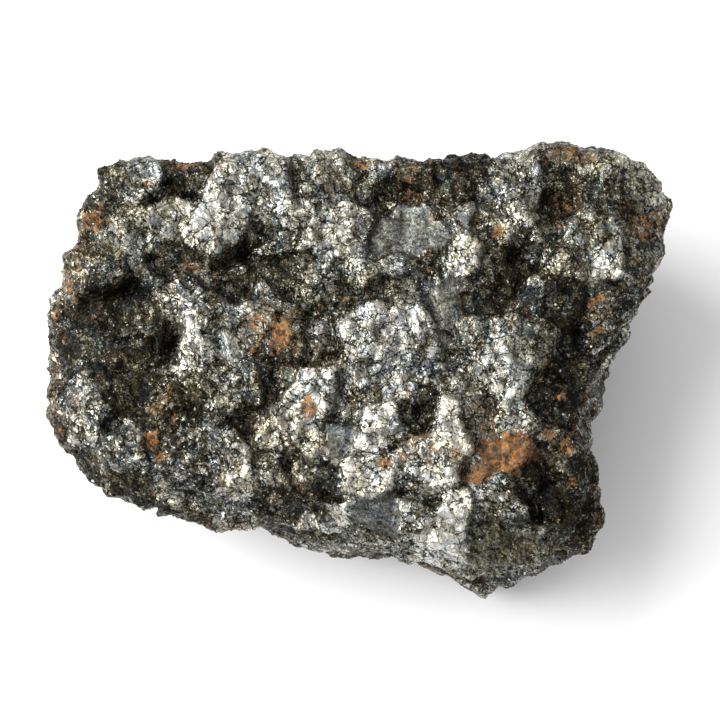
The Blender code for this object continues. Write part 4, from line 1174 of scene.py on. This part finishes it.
def ore_rust(n, o, rust):
    """How rusty each place is, broken up into scabs, and the rust's colour, broken up into crumbs."""
    scabs = n.swing(n.noise(o.bent, *SCAB_WAVES)[0], SCAB_RAGS[0])
    scabs = n.plus(scabs, n.swing(o.flake[1], SCAB_RAGS[1]))
    rusty = n.times(n.ramp(n.plus(rust, scabs), *RUST_FROM), n.ramp(o.grain[2], *RUST_BY_GRAIN))
    crumbs = n.swing(n.noise(o.crack_place, *CRUMB_WAVES)[0], CRUMB_RAGS[0])
    crumbs = n.plus(crumbs, n.swing(o.flake[2], CRUMB_RAGS[1]))
    colour = n.mix(n.ramp(crumbs, *RUST_BRIGHT_FROM), RUST_DARK, RUST_BRIGHT)
    return rusty, n.mix(n.ramp(o.hue, *RUST_PALE_FROM), colour, RUST_PALE)


def ore_material(name, loose_grains):
    """The ore: metallic grains from dark to bright, with olive, slate, moss and rusty places."""
    n = Nodes(name)
    finish_tone, olive, rust = n.kept("ore_tone")
    smooth, warm, _ = n.kept("ore_touch")
    o = ore_patterns(n, loose_grains)
    tone = ore_tone(n, o, finish_tone)
    rags = n.plus(n.swing(o.patches, SMOOTH_RAGS[0]), n.swing(o.flake[0], SMOOTH_RAGS[1]))
    smooth_by = n.ramp(n.plus(smooth, rags), *SMOOTH_FROM)
    rusty, rust_colour = ore_rust(n, o, rust)
    colour = ore_colour(n, o, tone, smooth_by, olive, warm)
    n.put(n.shader.inputs["Base Color"], n.mix(rusty, colour, rust_colour))

    bare = n.maths("SUBTRACT", 1.0, rusty, clamp=True)
    metal = n.times(n.between(n.ramp(tone, *MIDDLE_TONES), *METAL), bare)
    n.put(n.shader.inputs["Metallic"], n.times(metal, n.between(smooth_by, 1.0, SMOOTH_METAL)))
    rough = n.plus(n.between(o.grain[1], *ROUGHNESS), n.times(rusty, RUST_ROUGHNESS))
    n.put(n.shader.inputs["Roughness"], rough)

    outward = n.add("ShaderNodeNewGeometry").outputs["Normal"]
    tilt = n.scaled(o.tilt, n.between(smooth_by, 1.0, SMOOTH_TILT))
    bump = n.add("ShaderNodeBump")
    n.put(bump.inputs["Height"], n.noise(o.bent, *PIT_WAVES)[0])
    n.put(bump.inputs["Distance"], PIT_DEPTH)
    n.put(bump.inputs["Strength"], PIT_STRENGTH)
    n.put(bump.inputs["Normal"], n.vector("NORMALIZE", n.vector("ADD", outward, tilt)))
    n.put(n.shader.inputs["Normal"], bump.outputs[0])
    return n.material


def build_stone():
    """The skin and its belts of crystals, each of which keeps three random numbers for its material."""
    points, faces, uv, finish, rise = stone_skin()
    skin = new_piece("stone_skin", points - BOX_MIDDLE, faces.reshape(-1), np.full(len(faces), 4), uv)
    dress(skin, finish, ore_material("massive_ore", False))

    places, normals, seed_finish, randoms = crystal_seeds(points, faces, finish, rise)
    material = ore_material("crystal_ore", True)
    belts = np.array_split(np.argsort(-places[:, 1], kind="stable"), len(CRYSTAL_BELTS))
    for side, belt in zip(CRYSTAL_BELTS, belts):
        crystals, corners = roof_crystals(places[belt], normals[belt], randoms[belt])
        crystals[:, 2] = np.maximum(crystals[:, 2], 0.0)
        sizes = np.full(len(corners) // 3, 3)
        piece = new_piece(f"crystals_{side}", crystals - BOX_MIDDLE, corners, sizes, crystal_uv(len(belt)))
        luck = cell_numbers(np.column_stack([belt, belt * 0, belt * 0]), 111, 3)
        put_colours(piece.data, "grain_luck", np.repeat(luck, len(CRYSTAL_SHEET), axis=0))
        dress(piece, np.repeat(seed_finish[belt], len(CRYSTAL_SHEET), axis=0), material)


# The studio, in metres: camera, light, sky and table top
CAMERA_HEIGHT_ANGLE = 80.0
CAMERA_DISTANCE = 0.42
CAMERA_AIM = Vector((0.0006, -0.0017, 0.0435))
PICTURE_WIDTH = 0.1161
SENSOR = 36.0
KEY_PLACE = Vector((-0.46, 0.13, 0.55))
KEY_AIM = Vector((0.0, 0.0, 0.03))
KEY_SIZE = 0.6
KEY_POWER = 9.5
SKY_STRENGTH = (0.40, 1.1)      # far from the key light and towards it
SKY_TURN = (-0.3, 1.0)          # cosines of the angles from its brightest side between which it changes
SKY_SIDE = Vector((-0.62, 0.25, 0.72))
TABLE_HALF = 1.5
TABLE_LEVEL = -0.00005
TABLE_COLOUR = (0.86, 0.86, 0.87, 1.0)
TABLE_ROUGHNESS = 0.6


def camera():
    """A long lens that looks down on the broken face."""
    data = bpy.data.cameras.new("camera")
    data.sensor_width = SENSOR
    data.lens = SENSOR * CAMERA_DISTANCE / PICTURE_WIDTH
    angle = math.radians(CAMERA_HEIGHT_ANGLE)
    away = Vector((0.0, -math.cos(angle), math.sin(angle)))
    eye = bpy.data.objects.new("camera", data)
    eye.location = CAMERA_AIM + away * CAMERA_DISTANCE
    eye.rotation_euler = (-away).to_track_quat("-Z", "Y").to_euler()
    bpy.context.scene.collection.objects.link(eye)
    bpy.context.scene.camera = eye


def key_light():
    """One wide soft light, high at the back left."""
    data = bpy.data.lights.new("key_light", "AREA")
    data.size = KEY_SIZE
    data.energy = KEY_POWER
    lamp = bpy.data.objects.new("key_light", data)
    lamp.location = KEY_PLACE
    lamp.rotation_euler = (KEY_AIM - KEY_PLACE).to_track_quat("-Z", "Y").to_euler()
    bpy.context.scene.collection.objects.link(lamp)


def sky():
    """A plain white sky that is brighter towards the key light."""
    world = bpy.data.worlds.new("studio")
    world.use_nodes = True
    tree = world.node_tree
    direction = tree.nodes.new("ShaderNodeTexCoord").outputs["Generated"]
    towards = tree.nodes.new("ShaderNodeVectorMath")
    towards.operation = "DOT_PRODUCT"
    tree.links.new(direction, towards.inputs[0])
    towards.inputs[1].default_value = SKY_SIDE.normalized()
    ramp = tree.nodes.new("ShaderNodeMapRange")
    ramp.interpolation_type = "SMOOTHSTEP"
    for socket, value in zip(ramp.inputs[1:5], SKY_TURN + SKY_STRENGTH):
        socket.default_value = value
    tree.links.new(towards.outputs["Value"], ramp.inputs[0])
    tree.nodes["Background"].inputs["Color"].default_value = (1.0, 1.0, 1.0, 1.0)
    tree.links.new(ramp.outputs[0], tree.nodes["Background"].inputs["Strength"])
    bpy.context.scene.world = world


def floor():
    """A plain pale table top."""
    mesh = bpy.data.meshes.new("floor")
    signs = [(-1, -1), (1, -1), (1, 1), (-1, 1)]
    mesh.from_pydata([(x * TABLE_HALF, y * TABLE_HALF, TABLE_LEVEL) for x, y in signs], [], [(0, 1, 2, 3)])
    n = Nodes("pale_table")
    n.put(n.shader.inputs["Base Color"], TABLE_COLOUR)
    n.put(n.shader.inputs["Roughness"], TABLE_ROUGHNESS)
    mesh.materials.append(n.material)
    top = bpy.data.objects.new("floor", mesh)
    bpy.context.scene.collection.objects.link(top)


build_stone()
camera()
key_light()
sky()
floor()
bpy.context.scene.view_settings.view_transform = "Standard"
